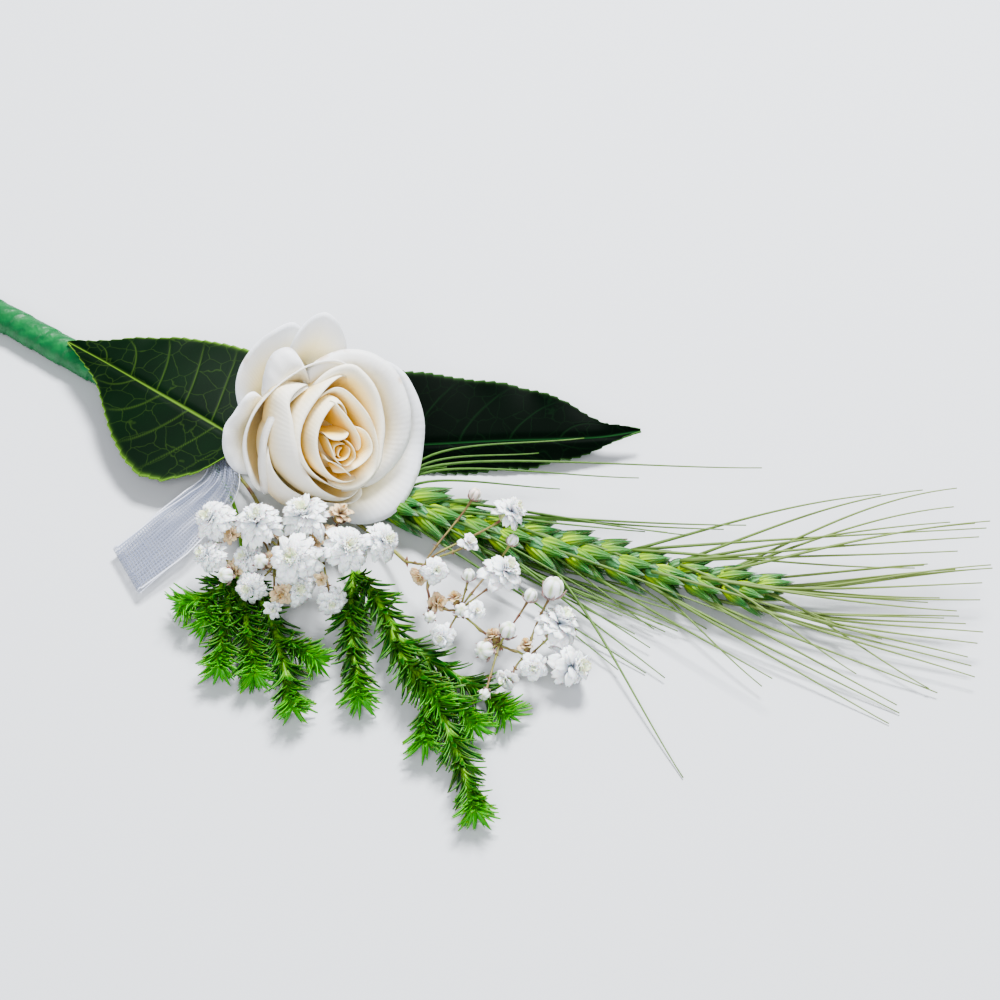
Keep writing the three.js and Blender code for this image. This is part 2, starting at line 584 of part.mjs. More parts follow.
function headBody(centre, axis, radius, kind) {
  const up = Math.abs(axis.z) > 0.9 ? new THREE.Vector3(1, 0, 0) : new THREE.Vector3(0, 0, 1);
  const [first] = framesAlong([centre, centre.clone().add(axis)], up);
  const { points, rings, crown } = HEAD_SHAPES[kind];
  const star = ([reach, height, wave, shift]) => Array.from({ length: points }, (_, k) => {
    const turn = 2 * Math.PI * k / points;
    const out = radius * reach * (1 + ((k + shift) % 2 ? wave : -wave));
    return centre.clone().addScaledVector(axis, height * radius)
      .addScaledVector(first.up, out * Math.cos(turn)).addScaledVector(first.side, out * Math.sin(turn));
  });
  return skin(rings.map(star), undefined, centre.clone().addScaledVector(axis, crown * radius));
}

function makeSpray(letter, heads, hubs, main, others) {
  const stems = [main];
  for (let i = 1; i < hubs.length; i++) stems.push(plainTube([hubs[i - 1], hubs[i]], FINE_STEM + 0.1, 1, 3));
  const placed = heads.map(([x, y, z, radius, kind, dried], i) => {
    const centre = new THREE.Vector3(x, y, z);
    const hub = hubs.map(vec).sort((a, b) => a.distanceTo(centre) - b.distanceTo(centre))[0];
    const axis = centre.clone().sub(hub).normalize().add(new THREE.Vector3(0, -0.25, 0.55)).normalize();
    const body = headBody(centre, axis, radius, kind);
    const name = `gypsophila_${kind === 0 ? 'bud' : 'head'}_${letter}${String(i + 1).padStart(2, '0')}`;
    return { name, body, box: body.boundingBox(), centre, axis, radius, hub, dried, kind };
  });
  for (const head of placed) {
    const obstacles = [...placed.filter((other) => other !== head), ...others];
    stems.push(stalkTo(head, obstacles));
  }
  addPart(`gypsophila_stems_${letter}`, join(stems), 'gypstem');
  for (const head of placed) addPart(head.name, head.body, head.dried ? 'dried' : 'gyp');
}

// Stalk from a fork up to just below its head, bent aside as far as it takes to pass the others

function stalkTo(head, obstacles) {
  const below = HEAD_SHAPES[head.kind].foot * head.radius + CLEAR + 0.02;
  const seat = head.centre.clone().addScaledVector(head.axis, -below);
  const reach = seat.distanceTo(head.hub);
  const lowest = 0.8;
  for (let bend = 0; bend < 24; bend++) {
    const turn = 2.4 * bend;
    const aside = new THREE.Vector3(Math.cos(turn), Math.sin(turn), 0.4 * Math.sin(2 * turn));
    aside.multiplyScalar(0.12 * bend);
    const start = head.hub.clone().add(new THREE.Vector3(0, 0, 0.2 * reach)).add(aside);
    const finish = seat.clone().addScaledVector(head.axis, -0.35 * reach).add(aside);
    start.z = Math.max(start.z, lowest);
    finish.z = Math.max(finish.z, lowest);
    const line = new THREE.CubicBezierCurve3(head.hub, start, finish, seat).getPoints(4);
    const kept = line.filter((_, k) => k !== 1 && (k !== 3 || reach > 6));
    const body = tube(kept, kept.map((p) => FINE_STEM + (p === kept.at(-1) ? 0.2 : 0)), 3);
    if (isClear(body, obstacles) && body.minGap(head.body, 1) > CLEAR * 0.6) return body;
  }
  throw new Error(`no room for the stalk of ${head.name}`);
}

// Greenery: slim cores with needles on all sides, densest at the tips

function needleTip(foot, along, out, wing, i, seed, count) {
  const sway = 0.5 * (draw(seed, i) - 0.5);
  const rise = lerp(0.66, 0.5, i / (3 * count));
  const head = along.clone().addScaledVector(out, rise / 0.75).addScaledVector(wing, sway).normalize();
  const size = NEEDLE_LENGTH * (0.78 + 0.4 * draw(seed, i + 400)) * (i > 3 * (count - 3) ? 0.75 : 1);
  return foot.clone().addScaledVector(head, size);
}

function branchlet(points, seed, others, sisters) {
  const sides = 3;
  const length = vec(points[0]).distanceTo(vec(points.at(-1)));
  const tuft = 0.7 * NEEDLE_LENGTH;   // the last needles reach this far past the core
  const steps = Math.round(length / NEEDLE_SPACING);
  const count = Math.round((length - tuft) / NEEDLE_SPACING);
  const frames = framesAlong(smoothLine(points, steps)).slice(0, count + 1);
  const rings = frames.map(({ point, up, side }, i) => Array.from({ length: sides }, (_, k) => {
    const turn = 2 * Math.PI * k / sides + 0.42 * i;
    const radius = lerp(0.55, 0.42, i / count);
    return point.clone()
      .addScaledVector(up, radius * Math.cos(turn))
      .addScaledVector(side, radius * Math.sin(turn));
  }));
  const tip = frames.at(-1).point.clone().addScaledVector(frames.at(-1).along, tuft);
  const all = [frames[0].point.clone(), ...rings.flat(), tip];
  const faces = [];
  const bare = Math.round(2.5 / NEEDLE_SPACING);
  for (let k = 0; k < sides; k++) {
    const next = (k + 1) % sides;
    faces.push(0, 1 + next, 1 + k);
    faces.push(1 + count * sides + sides, 1 + count * sides + k, 1 + count * sides + next);
    for (let i = 0; i < count; i++) {
      const low = 1 + i * sides;
      const high = low + sides;
      const corners = [low + k, low + next, high + next, high + k];
      const foot = corners.reduce((sum, c) => sum.add(all[c]), new THREE.Vector3()).divideScalar(4);
      const { along, point } = frames[i];
      const out = foot.clone().sub(point);
      out.addScaledVector(along, -out.dot(along)).normalize();
      const end = needleTip(foot, along, out, along.clone().cross(out), i * sides + k, seed, count);
      const needle = skin([corners.map((c) => all[c])], foot, end);
      const fits = i >= bare && end.z > -0.5 && isClear(needle, others) && isClear(needle, sisters, 0.05);
      if (fits) {
        end.z = Math.max(end.z, 0.05);
        all.push(end);
        corners.forEach((c, n) => faces.push(c, corners[(n + 1) % 4], all.length - 1));
      } else {
        faces.push(corners[0], corners[1], corners[2], corners[0], corners[2], corners[3]);
      }
    }
  }
  return solid(all, faces);
}

function makeSprig(name, angle, branches, others, seed) {
  const [main, ...rest] = branches;
  const placed = [];
  rest.forEach((points, b) => {
    const body = branchlet(points, seed + b, others, placed);
    placed.push({ body, box: body.boundingBox() });
  });
  addPart(name, join([stemFrom(angle, 7, main, THIN_STEM, 5), ...placed.map(({ body }) => body)]), 'sprig');
}

// Ribbon: one strip, out along the table, folded and back, pinched at the tape

function makeRibbon() {
  const line = smoothLine(RIBBON.map((p) => p.slice(0, 3)), 7);
  const widths = RIBBON.map((p) => p[3]);
  const mouth = insideTape(AT.ribbon, 14);
  const frames = framesAlong([...mouth, ...line.slice(1)]);
  const strip = [];
  const count = frames.length;
  const free = (i) => Math.max(0, (i - mouth.length + 1) / (count - mouth.length));
  const widthAt = (i) => (i < mouth.length ? 1.1 : valueAt(widths, free(i)));
  const gapAt = (i) => RIBBON_GAP * Math.min(1, Math.max(0.38, (i - mouth.length) / 4)) / 2;
  const rowAt = (i, forward, lift, sway = 0) => {
    const { point, along } = frames[i];
    const skew = rad(FOLD_SKEW) * free(i) ** 2;
    const side = new THREE.Vector3(-along.y, along.x, 0).normalize().applyAxisAngle(UP, -skew);
    const middle = point.clone().addScaledVector(along, forward);
    middle.z += lift;
    return [-1, 0, 1].map((c) => middle.clone().addScaledVector(side, c * widthAt(i) / 2 + sway));
  };
  for (let i = 0; i < count; i++) strip.push(rowAt(i, 0, -gapAt(i)));
  for (const turn of [-45, 0, 45]) {
    const bulge = 1.2 * gapAt(count) * Math.cos(rad(turn));
    strip.push(rowAt(count - 1, bulge, gapAt(count) * Math.sin(rad(turn))));
  }
  for (let i = count - 1; i >= 0; i--) strip.push(rowAt(i, 0, gapAt(i), i > mouth.length + 1 ? 0.4 : 0));
  addPart('ribbon_loop', blade(strip, RIBBON_THICK).trimByPlane([0, 0, 1], 0), 'ribbon');
}

// Assembly, from the ground up: each piece is laid clear of those before it

makeTape();
makeRose();
makeRoseStem();
makeLeaf('leaf_right', LEAF_RIGHT, stemFrom(AT.leafr, 4, PETIOLE_RIGHT, PETIOLE), LEAF_FLOOR);
makeLeaf('leaf_left', LEAF_LEFT, stemFrom(AT.leafl, 6, PETIOLE_LEFT, PETIOLE, 5, 4), CLEAR);
makeRibbon();
const sprayStem = (angle, route, hubs) => stemFrom(angle, 8, [...route, hubs[0]], THIN_STEM, 3, 6.5);
makeSpray('a', HEADS_A, HUBS_A, sprayStem(AT.gypa, ROUTE_A, HUBS_A), parts.slice());
makeSpray('b', HEADS_B, HUBS_B, sprayStem(AT.gypb, ROUTE_B, HUBS_B), parts.slice());
makeWheat(parts.slice());
makeSprig('greenery_left', AT.spriga, SPRIG_A, parts.slice(), 11);
makeSprig('greenery_right', AT.sprigb, SPRIG_B, parts.slice(), 31);

const boutonniere = new THREE.Group();
boutonniere.name = 'boutonniere';
for (const { mesh } of parts) boutonniere.add(mesh);
const { min, max } = new THREE.Box3().setFromObject(boutonniere);
boutonniere.position.set(-(min.x + max.x) / 2, -(min.y + max.y) / 2, -min.z);

export default boutonniere;
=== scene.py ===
# %% [markdown]
# A boutonniere lying on a table: a cream rose, two dark leaves, a green wheat ear, gypsophila and
# needle-leaved greenery, with a loop of organza, their stems wound together in green tape.
# The CAD model of it is loaded first. It fixes where everything lies, and each of its plain solids
# is then replaced by a finer piece of the same form.

# %% Load the frame
import math

import bpy
import numpy as np
from mathutils import Matrix, Vector
from mathutils.bvhtree import BVHTree


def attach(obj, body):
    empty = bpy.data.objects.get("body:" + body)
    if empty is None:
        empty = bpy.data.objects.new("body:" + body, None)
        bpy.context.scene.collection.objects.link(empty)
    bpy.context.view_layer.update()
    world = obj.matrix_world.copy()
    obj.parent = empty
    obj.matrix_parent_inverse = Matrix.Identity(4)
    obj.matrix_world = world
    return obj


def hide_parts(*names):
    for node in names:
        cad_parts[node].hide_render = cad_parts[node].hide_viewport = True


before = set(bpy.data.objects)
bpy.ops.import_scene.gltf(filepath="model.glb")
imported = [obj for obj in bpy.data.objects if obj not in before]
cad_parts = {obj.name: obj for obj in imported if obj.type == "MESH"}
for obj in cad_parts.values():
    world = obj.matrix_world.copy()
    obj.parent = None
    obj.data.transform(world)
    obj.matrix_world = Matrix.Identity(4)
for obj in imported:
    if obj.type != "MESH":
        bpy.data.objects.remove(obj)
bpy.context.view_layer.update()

# %% [markdown]
# Sizes are in millimetres, and points lie on a table plane: x to the right, y away from the
# viewer, z up from the table, from the middle of the picture. The CAD model was centred after it
# was laid out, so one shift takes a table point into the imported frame. Two small functions do it.

# %% From table millimetres to scene metres
MM = 0.001
CENTRED_BY = Vector((15.168866, 11.353424, 0))


def to_scene(point):
    return (Vector(point) + CENTRED_BY) * MM


def to_scene_array(points):
    return (np.asarray(points) + np.array(CENTRED_BY)) * MM


# %% [markdown]
# The camera looks down at 48 degrees from 651 mm away through a long lens, which fits the
# picture's perspective. The floor is a plain pale sheet. Light is soft: a strong panel above and
# behind, a larger, weaker one in front, and a pale sky.

# %% Camera
CAMERA_ELEVATION = math.radians(48)
CAMERA_DISTANCE = 651
FOCAL_PIXELS = 2960
PICTURE_PIXELS = 1000
SENSOR_MM = 36

camera_data = bpy.data.cameras.new("camera")
camera_data.sensor_width = SENSOR_MM
camera_data.lens = SENSOR_MM * FOCAL_PIXELS / PICTURE_PIXELS
camera_data.clip_start = 0.01
camera = bpy.data.objects.new("camera", camera_data)
bpy.context.scene.collection.objects.link(camera)
camera.location = to_scene((
    0, -CAMERA_DISTANCE * math.cos(CAMERA_ELEVATION), CAMERA_DISTANCE * math.sin(CAMERA_ELEVATION),
))
camera.rotation_euler = (math.pi / 2 - CAMERA_ELEVATION, 0, 0)
bpy.context.scene.camera = camera
print("lens", round(camera_data.lens, 2), "mm")


# %% Floor and lights
def deselect():
    bpy.ops.object.select_all(action="DESELECT")


def srgb(code):
    """Turn a hex colour such as "#f4f1ea" into the linear values that Blender's sockets take."""
    parts = [int(code[i:i + 2], 16) / 255 for i in (1, 3, 5)]
    return (*(p / 12.92 if p <= 0.04045 else ((p + 0.055) / 1.055) ** 2.4 for p in parts), 1)


def set_inputs(material, node, values):
    """Fill a node's inputs: a node or socket is joined, a hex colour or a number is set."""
    for key, value in values.items():
        if isinstance(value, bpy.types.Node):
            value = next(socket for socket in value.outputs if socket.enabled)
        if isinstance(value, bpy.types.NodeSocket):
            material.node_tree.links.new(value, node.inputs[key])
        else:
            node.inputs[key].default_value = srgb(value) if isinstance(value, str) else value


def add_node(material, kind, values=None, out=None, **settings):
    """Add a node with its settings and inputs. Gives the node, or its output if out names one."""
    node = material.node_tree.nodes.new("ShaderNode" + kind)
    for key, value in settings.items():
        setattr(node, key, value)
    set_inputs(material, node, values or {})
    return node.outputs[out] if out else node


def new_material(name, **shader_values):
    """A material whose plain values are set on its shader's own sockets."""
    material = bpy.data.materials.new(name)
    material.use_nodes = True
    set_inputs(material, material.node_tree.nodes["Principled BSDF"], {
        key.replace("_", " "): value for key, value in shader_values.items()
    })
    return material


def add_light(name, place, watts, size):
    """A square panel, its place and size in metres, that faces the middle of the table."""
    light = bpy.data.lights.new(name, "AREA")
    light.energy = watts
    light.size = size
    lamp = bpy.data.objects.new(name, light)
    bpy.context.scene.collection.objects.link(lamp)
    lamp.location = place
    lamp.rotation_euler = (-Vector(place)).to_track_quat("-Z", "Y").to_euler()


deselect()
bpy.ops.mesh.primitive_plane_add(size=6, location=(0, 0, 0))
floor = bpy.context.object
floor.name = "floor"
floor.data.materials.append(
    new_material("Studio floor, matt card", Roughness=0.9, Base_Color="#c6c9ce"))

add_light("key_panel", (0.15, 0.42, 0.8), 20, 0.26)
add_light("fill_panel", (-0.1, -0.7, 0.75), 8, 0.5)
world = bpy.data.worlds.new("pale sky")
world.use_nodes = True
set_inputs(world, world.node_tree.nodes["Background"], {"Color": "#eef1f5", "Strength": 0.5})
bpy.context.scene.world = world
bpy.context.scene.view_settings.look = "AgX - Medium High Contrast"

# %% [markdown]
# Grown things follow lines: stems, midribs, awns. These helpers draw an even line through a few
# chosen points and carry a frame along it (a direction, an up and a side), so that a tube or a
# leaf can be laid on it. They are the same as the CAD source's, so the pieces land on its solids.


# %% Lines and frames
CURVE_STEPS = 40       # between two given points, before a line is spaced evenly


def draw(seed, i):
    """A number from 0 to 1 that looks random, and is the same on each run."""
    wave = math.sin(i * 12.9898 + seed * 78.233) * 43758.5453
    return wave - math.floor(wave)


def lerp(a, b, t):
    return a + (b - a) * t


def value_at(values, t):
    place = min(max(t, 0), 1) * (len(values) - 1)
    low = min(int(place), len(values) - 2)
    return lerp(values[low], values[low + 1], place - low)


def turned(angle, a, b):
    """The direction at this angle from a towards b, two directions at right angles."""
    return math.cos(angle) * a + math.sin(angle) * b


def bezier(t, a, b, c, d):
    """The cubic curve that leaves a towards b and reaches d from c, as numbers or points."""
    u = 1 - t
    return u ** 3 * a + 3 * u * u * t * b + 3 * u * t * t * c + t ** 3 * d


def smooth_line(points, steps):
    """Evenly spaced points on a centripetal Catmull-Rom curve through the given ones."""
    knots = [Vector(p) for p in points]
    padded = [2 * knots[0] - knots[1], *knots, 2 * knots[-1] - knots[-2]]
    fine = [knots[0]]
    for a, b, c, d in zip(padded, padded[1:], padded[2:], padded[3:]):
        ab, bc, cd = (math.sqrt((q - p).length) for p, q in ((a, b), (b, c), (c, d)))
        leave = ((b - a) / ab - (c - a) / (ab + bc) + (c - b) / bc) * bc
        arrive = ((c - b) / bc - (d - b) / (bc + cd) + (d - c) / cd) * bc
        for k in range(1, CURVE_STEPS + 1):
            t = k / CURVE_STEPS
            square = -3 * b + 3 * c - 2 * leave - arrive
            cube = 2 * b - 2 * c + leave + arrive
            fine.append(b + leave * t + square * t * t + cube * t ** 3)
    fine = np.array(fine)
    reach = np.concatenate([[0], np.cumsum(np.linalg.norm(np.diff(fine, axis=0), axis=1))])
    wanted = np.linspace(0, reach[-1], steps + 1)
    return [Vector(p) for p in zip(*(np.interp(wanted, reach, fine[:, k]) for k in range(3)))]


def frames_along(points):
    """For each point, a direction, an up and a side that turn as little as they can."""
    frames = []
    up = Vector((0, 0, 1))
    for i, point in enumerate(points):
        along = (points[min(i + 1, len(points) - 1)] - points[max(i - 1, 0)]).normalized()
        up = up - up.dot(along) * along
        if up.length < 0.001:
            up = Vector((0, 1, 0)) - along.y * along
        up.normalize()
        frames.append((Vector(point), along, up.copy(), along.cross(up)))
    return frames


# %% [markdown]
# Most petals, leaves and husks start as a flat grid, which is then bent into shape. A formula
# places each point of the grid from two numbers: across, from -1 to 1, and along, from 0 to 1.
# That does what hand work with proportional editing would, and it can be repeated exactly.
# Numbers that a material needs later, such as how near the rim a point is, are kept as
# attributes of the mesh.


# %% Grids, modifiers and tubes
GRID_MARKS = {"across": lambda across, along: across, "along": lambda across, along: along}


def pick(piece):
    deselect()
    piece.select_set(True)
    bpy.context.view_layer.objects.active = piece


def shaped_grid(name, columns, rows, place, marks=None, thick=0, offset=0):
    """Add a grid, move each point to place(across, along), in table millimetres, and give it its
    thickness: on both sides of the sheet, or with offset -1 on the inner side."""
    deselect()
    bpy.ops.mesh.primitive_grid_add(x_subdivisions=columns, y_subdivisions=rows, size=2)
    piece = bpy.context.object
    piece.name = name
    spots = [(point.co.x, (point.co.y + 1) / 2) for point in piece.data.vertices]
    for point, spot in zip(piece.data.vertices, spots):
        point.co = to_scene(place(*spot))
    for key, rule in (marks or {}).items():
        layer = piece.data.attributes.new(key, "FLOAT", "POINT")
        layer.data.foreach_set("value", [float(rule(*spot)) for spot in spots])
    if thick:
        modify(piece, "SOLIDIFY", thickness=thick * MM, offset=offset)
    return piece


def modify(piece, kind, **settings):
    pick(piece)
    modifier = piece.modifiers.new(kind.title(), kind)
    for key, value in settings.items():
        setattr(modifier, key, value)
    bpy.ops.object.modifier_apply(modifier=modifier.name)


def close_seam(piece, gap=0.002):
    """Merge points that lie on each other, and turn all faces outwards."""
    pick(piece)
    bpy.ops.object.mode_set(mode="EDIT")
    bpy.ops.mesh.select_all(action="SELECT")
    bpy.ops.mesh.remove_doubles(threshold=gap * MM)
    bpy.ops.mesh.normals_make_consistent(inside=False)
    bpy.ops.object.mode_set(mode="OBJECT")


def round_off(piece):
    pick(piece)
    bpy.ops.object.shade_smooth()


def join_pieces(name, pieces):
    deselect()
    for piece in pieces:
        piece.select_set(True)
    bpy.context.view_layer.objects.active = pieces[0]
    bpy.ops.object.join()
    pieces[0].name = name
    return pieces[0]


def tubes(name, routes, roundness=1):
    """Round stems: a curve with a spline for each (points, radii), turned into one mesh. A stem
    that is equally thick all along has one number in place of radii."""
    curve = bpy.data.curves.new(name, "CURVE")
    curve.dimensions = "3D"
    curve.bevel_depth = MM
    curve.bevel_resolution = roundness
    curve.use_fill_caps = True
    for points, radii in routes:
        spline = curve.splines.new("POLY")
        spline.points.add(len(points) - 1)
        radii = radii if isinstance(radii, list) else [radii] * len(points)
        for spot, point, radius in zip(spline.points, points, radii):
            spot.co = (*to_scene(point), 1)
            spot.radius = radius
    piece = bpy.data.objects.new(name, curve)
    bpy.context.scene.collection.objects.link(piece)
    pick(piece)
    bpy.ops.object.convert(target="MESH")
    piece = bpy.context.object
    close_seam(piece, 0.0005)
    round_off(piece)
    return piece


def hand_in(piece, node, slot, *materials):
    """Give a finished piece its materials, and let it stand for its CAD solid."""
    for material in materials:
        piece.data.materials.append(material)
    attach(piece, "root")
    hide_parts(node)
    print(piece.name, len(piece.data.polygons), "faces")


# %% [markdown]
# Needles, husks and small petals repeat hundreds of times. A few models with few faces are made
# and copied into place: every copy has its own points in the piece's mesh. A copy also keeps two
# numbers for the material, its own chance number and a mark that says what it is.


# %% Copies of a small model
def as_model(piece):
    """Take a small piece, made in table millimetres, as a model to copy, and remove it."""
    mesh = piece.data
    points = np.empty(3 * len(mesh.vertices))
    mesh.vertices.foreach_get("co", points)
    marks = {}
    for key in GRID_MARKS:
        values = np.zeros(len(mesh.vertices))
        if key in mesh.attributes:
            mesh.attributes[key].data.foreach_get("value", values)
        marks[key] = values
    model = {
        "points": points.reshape(-1, 3) / MM - np.array(CENTRED_BY),
        "faces": [tuple(face.vertices) for face in mesh.polygons],
        **marks,
    }
    bpy.data.objects.remove(piece)
    return model


def copies(name, placed):
    """One mesh of copies; placed lists (model, matrix, chance, mark), matrices in millimetres."""
    points, faces, numbers, start = [], [], [], 0
    for model, matrix, chance, mark in placed:
        turn = np.array(matrix)
        points.append(model["points"] @ turn[:3, :3].T + turn[:3, 3])
        faces.extend(tuple(start + i for i in face) for face in model["faces"])
        count = len(model["points"])
        numbers.append([
            model["across"], model["along"], np.full(count, chance), np.full(count, mark),
        ])
        start += count
    mesh = bpy.data.meshes.new(name)
    mesh.from_pydata(to_scene_array(np.concatenate(points)), [], faces)
    for k, key in enumerate(("across", "along", "chance", "mark")):
        layer = mesh.attributes.new(key, "FLOAT", "POINT")
        layer.data.foreach_set("value", np.concatenate([row[k] for row in numbers]))
    piece = bpy.data.objects.new(name, mesh)
    bpy.context.scene.collection.objects.link(piece)
    round_off(piece)
    return piece


def stand(base, tip, facing, width=1.0, depth=1.0, size=None):
    """Matrix that lays a model's +Y from base to tip, with its +Z towards facing."""
    length = tip - base
    forward = length.normalized()
    normal = (facing - facing.dot(forward) * forward).normalized()
    side = forward.cross(normal)
    scale = size or length.length
    matrix = Matrix((side * width, forward * scale, normal * depth)).transposed().to_4x4()
    matrix.translation = base
    return matrix


# %% [markdown]
# A needle or husk whose middle line would pierce a neighbouring piece is left out. A ray cast
# from its foot to its tip tells: if it meets none of the given pieces, the way is free.


# %% Is the way free?
def tree_of(piece):
    """The piece's faces, sorted in space so that a ray finds them fast."""
    points = [piece.matrix_world @ point.co for point in piece.data.vertices]
    return BVHTree.FromPolygons(points, [tuple(face.vertices) for face in piece.data.polygons])


def is_free(start, end, trees):
    start, end = to_scene(start), to_scene(end)
    reach = end - start
    return all(tree.ray_cast(start, reach.normalized(), reach.length)[0] is None for tree in trees)


# %% [markdown]
# The tape is florist's crepe paper with a little wax, pulled tight so that it clings. It is wound
# in a helix, so its edge shows as a slanting step every few millimetres. The grid is rolled into a
# tube round the stems' line, its radius takes the step and fine pleats, and Solidify gives it the
# thickness of its layers. The mouth stays open, because the stems come out of it.

# %% Tape
MOUTH = (-66, 19.5, 5)
STEM_END = (-133.5, 66.6, 3.1)
TAPE_LINE = [
    (-131.5, 65.2, 3.1), (-115.8, 54.6, 3.2), (-97.1, 41, 3.5), (-78.8, 27.9, 4.2), MOUTH,
]
TAPE_OUTER = (3.3, 3.7)    # radius at the stem's end and at the mouth
TAPE_STEPS = 16
TAPE_ROWS = 260
TAPE_COLUMNS = 48
TAPE_THICK = 0.45
WINDING = 8.5              # the helix comes round once in this length
TAPE_STEP = 0.3            # height of the step at the tape's edge
PLEAT = 0.06               # height of the fine pleats

tape_frames = frames_along(smooth_line(TAPE_LINE, TAPE_STEPS))
tape_fine = frames_along(smooth_line(TAPE_LINE, TAPE_ROWS))
tape_length = sum((b[0] - a[0]).length for a, b in zip(tape_fine, tape_fine[1:]))


def tape_place(across, along):
    point, _, up, side = tape_fine[round(along * TAPE_ROWS)]
    turn = math.pi * across
    wound = along * tape_length / WINDING + across / 2
    step = TAPE_STEP * ((wound % 1) ** 0.6 - 0.6)
    pleats = PLEAT * math.sin(2 * math.pi * (4 * wound + 5 * across)) * math.sin(3 * wound + 5 * across)
    radius = lerp(*TAPE_OUTER, along) + step + pleats - 0.05
    place = point + radius * turned(turn, up, side)
    place.z = max(place.z, 0)
    return place


tape = shaped_grid("tape_wrap", TAPE_COLUMNS, TAPE_ROWS, tape_place)
close_seam(tape)
modify(tape, "SOLIDIFY", thickness=TAPE_THICK * MM, offset=-1)
round_off(tape)

# %% [markdown]
# Crepe paper tape: waxed, stretched paper. Its wax gives a soft satin sheen, the crepe gives fine
# wrinkles about 0.5 mm apart, and where it is stretched over itself it is paler. Like every finish
# here, it is laid on in coats. Each coat covers its share of what lies under it, where some value,
# such as a noise or a mark kept on the mesh, is high enough. A bump then tilts the light as fine
# relief would. A noise has one over the real size of its spots, in metres, as its scale.

# %% Coats and bump
def paint(material, ground, *coats):
    """Lay coats over a ground. Each is (value, colour) or (value, colour, bare, full, share): it
    covers nothing where the value is bare, and its share of the ground where the value is full."""
    for value, colour, *spread in coats:
        if spread:
            bare, full, share = spread
            value = add_node(material, "MapRange", {0: value, 1: bare, 2: full, 3: 0, 4: share})
        ground = add_node(material, "Mix", {0: value, 6: ground, 7: colour}, data_type="RGBA")
    return ground


def dress(material, colour, height=None, strength=0, distance=0, **settings):
    """Join the colour to the shader, with a bump that follows height, its distance in metres."""
    joined = {"Base Color": colour}
    if height is not None:
        joined["Normal"] = add_node(material, "Bump", {
            "Strength": strength, "Distance": distance, "Height": height,
        }, **settings)
    set_inputs(material, material.node_tree.nodes["Principled BSDF"], joined)
    print(material.name, len(material.node_tree.nodes), "nodes")
    return material


# %% Tape material
CREPE_MM = 0.55
CREPE_SLANT = math.radians(75)    # the wrinkles cross the tape's own strip

tape_look = new_material("Florist tape, waxed crepe paper, stretched", Roughness=0.48, IOR=1.45)
slanted = add_node(tape_look, "Mapping", {
    "Vector": add_node(tape_look, "TexCoord", out="Object"), "Rotation": (0, 0, CREPE_SLANT),
})
crepe = add_node(tape_look, "TexWave", {
    "Vector": slanted, "Scale": 0.5 / (CREPE_MM * MM * 10), "Distortion": 6, "Detail": 3,
    "Detail Scale": 2,
}, out="Fac", wave_type="BANDS")
layers = add_node(tape_look, "TexNoise", {"Vector": slanted, "Scale": 320, "Detail": 4})    # 3 mm
tape_paint = paint(tape_look, "#064a22", (layers, "#1b7e42"), (crepe, "#0e5e30"))
dress(tape_look, tape_paint, crepe, 0.7, 0.0003)
hand_in(tape, "stem_tape", "florist_tape", tape_look)

# %% [markdown]
# A spray rose, half open. A petal is a thin cup: narrow at its foot, bulging, then flared or
# closed at its rim, and often rolled over there. What the eye reads in a rose is the rims, so each
# petal is given by its rim, a short list of points that a smooth line runs through, and its
# sheet is drawn up to that line from the foot. The eye of the bloom sits off centre, so the sheet
# leans with it, and the last, small petals close round it.

# %% Rose: where it stands
ROSE_BASE = Vector((-44, 11.2, 9.5))
ROSE_AXIS = Vector((0.35, -0.66, 0.66)).normalized()
ROSE_RIGHT = (Vector((1, 0, 0)) - ROSE_AXIS.x * ROSE_AXIS).normalized()
ROSE_TOP = ROSE_AXIS.cross(ROSE_RIGHT)
EYE = (1.3, -3.5, 27)          # where the eye is, from the axis, and at what height


def on_rose(x, y, z):
    return ROSE_BASE + x * ROSE_RIGHT + y * ROSE_TOP + z * ROSE_AXIS


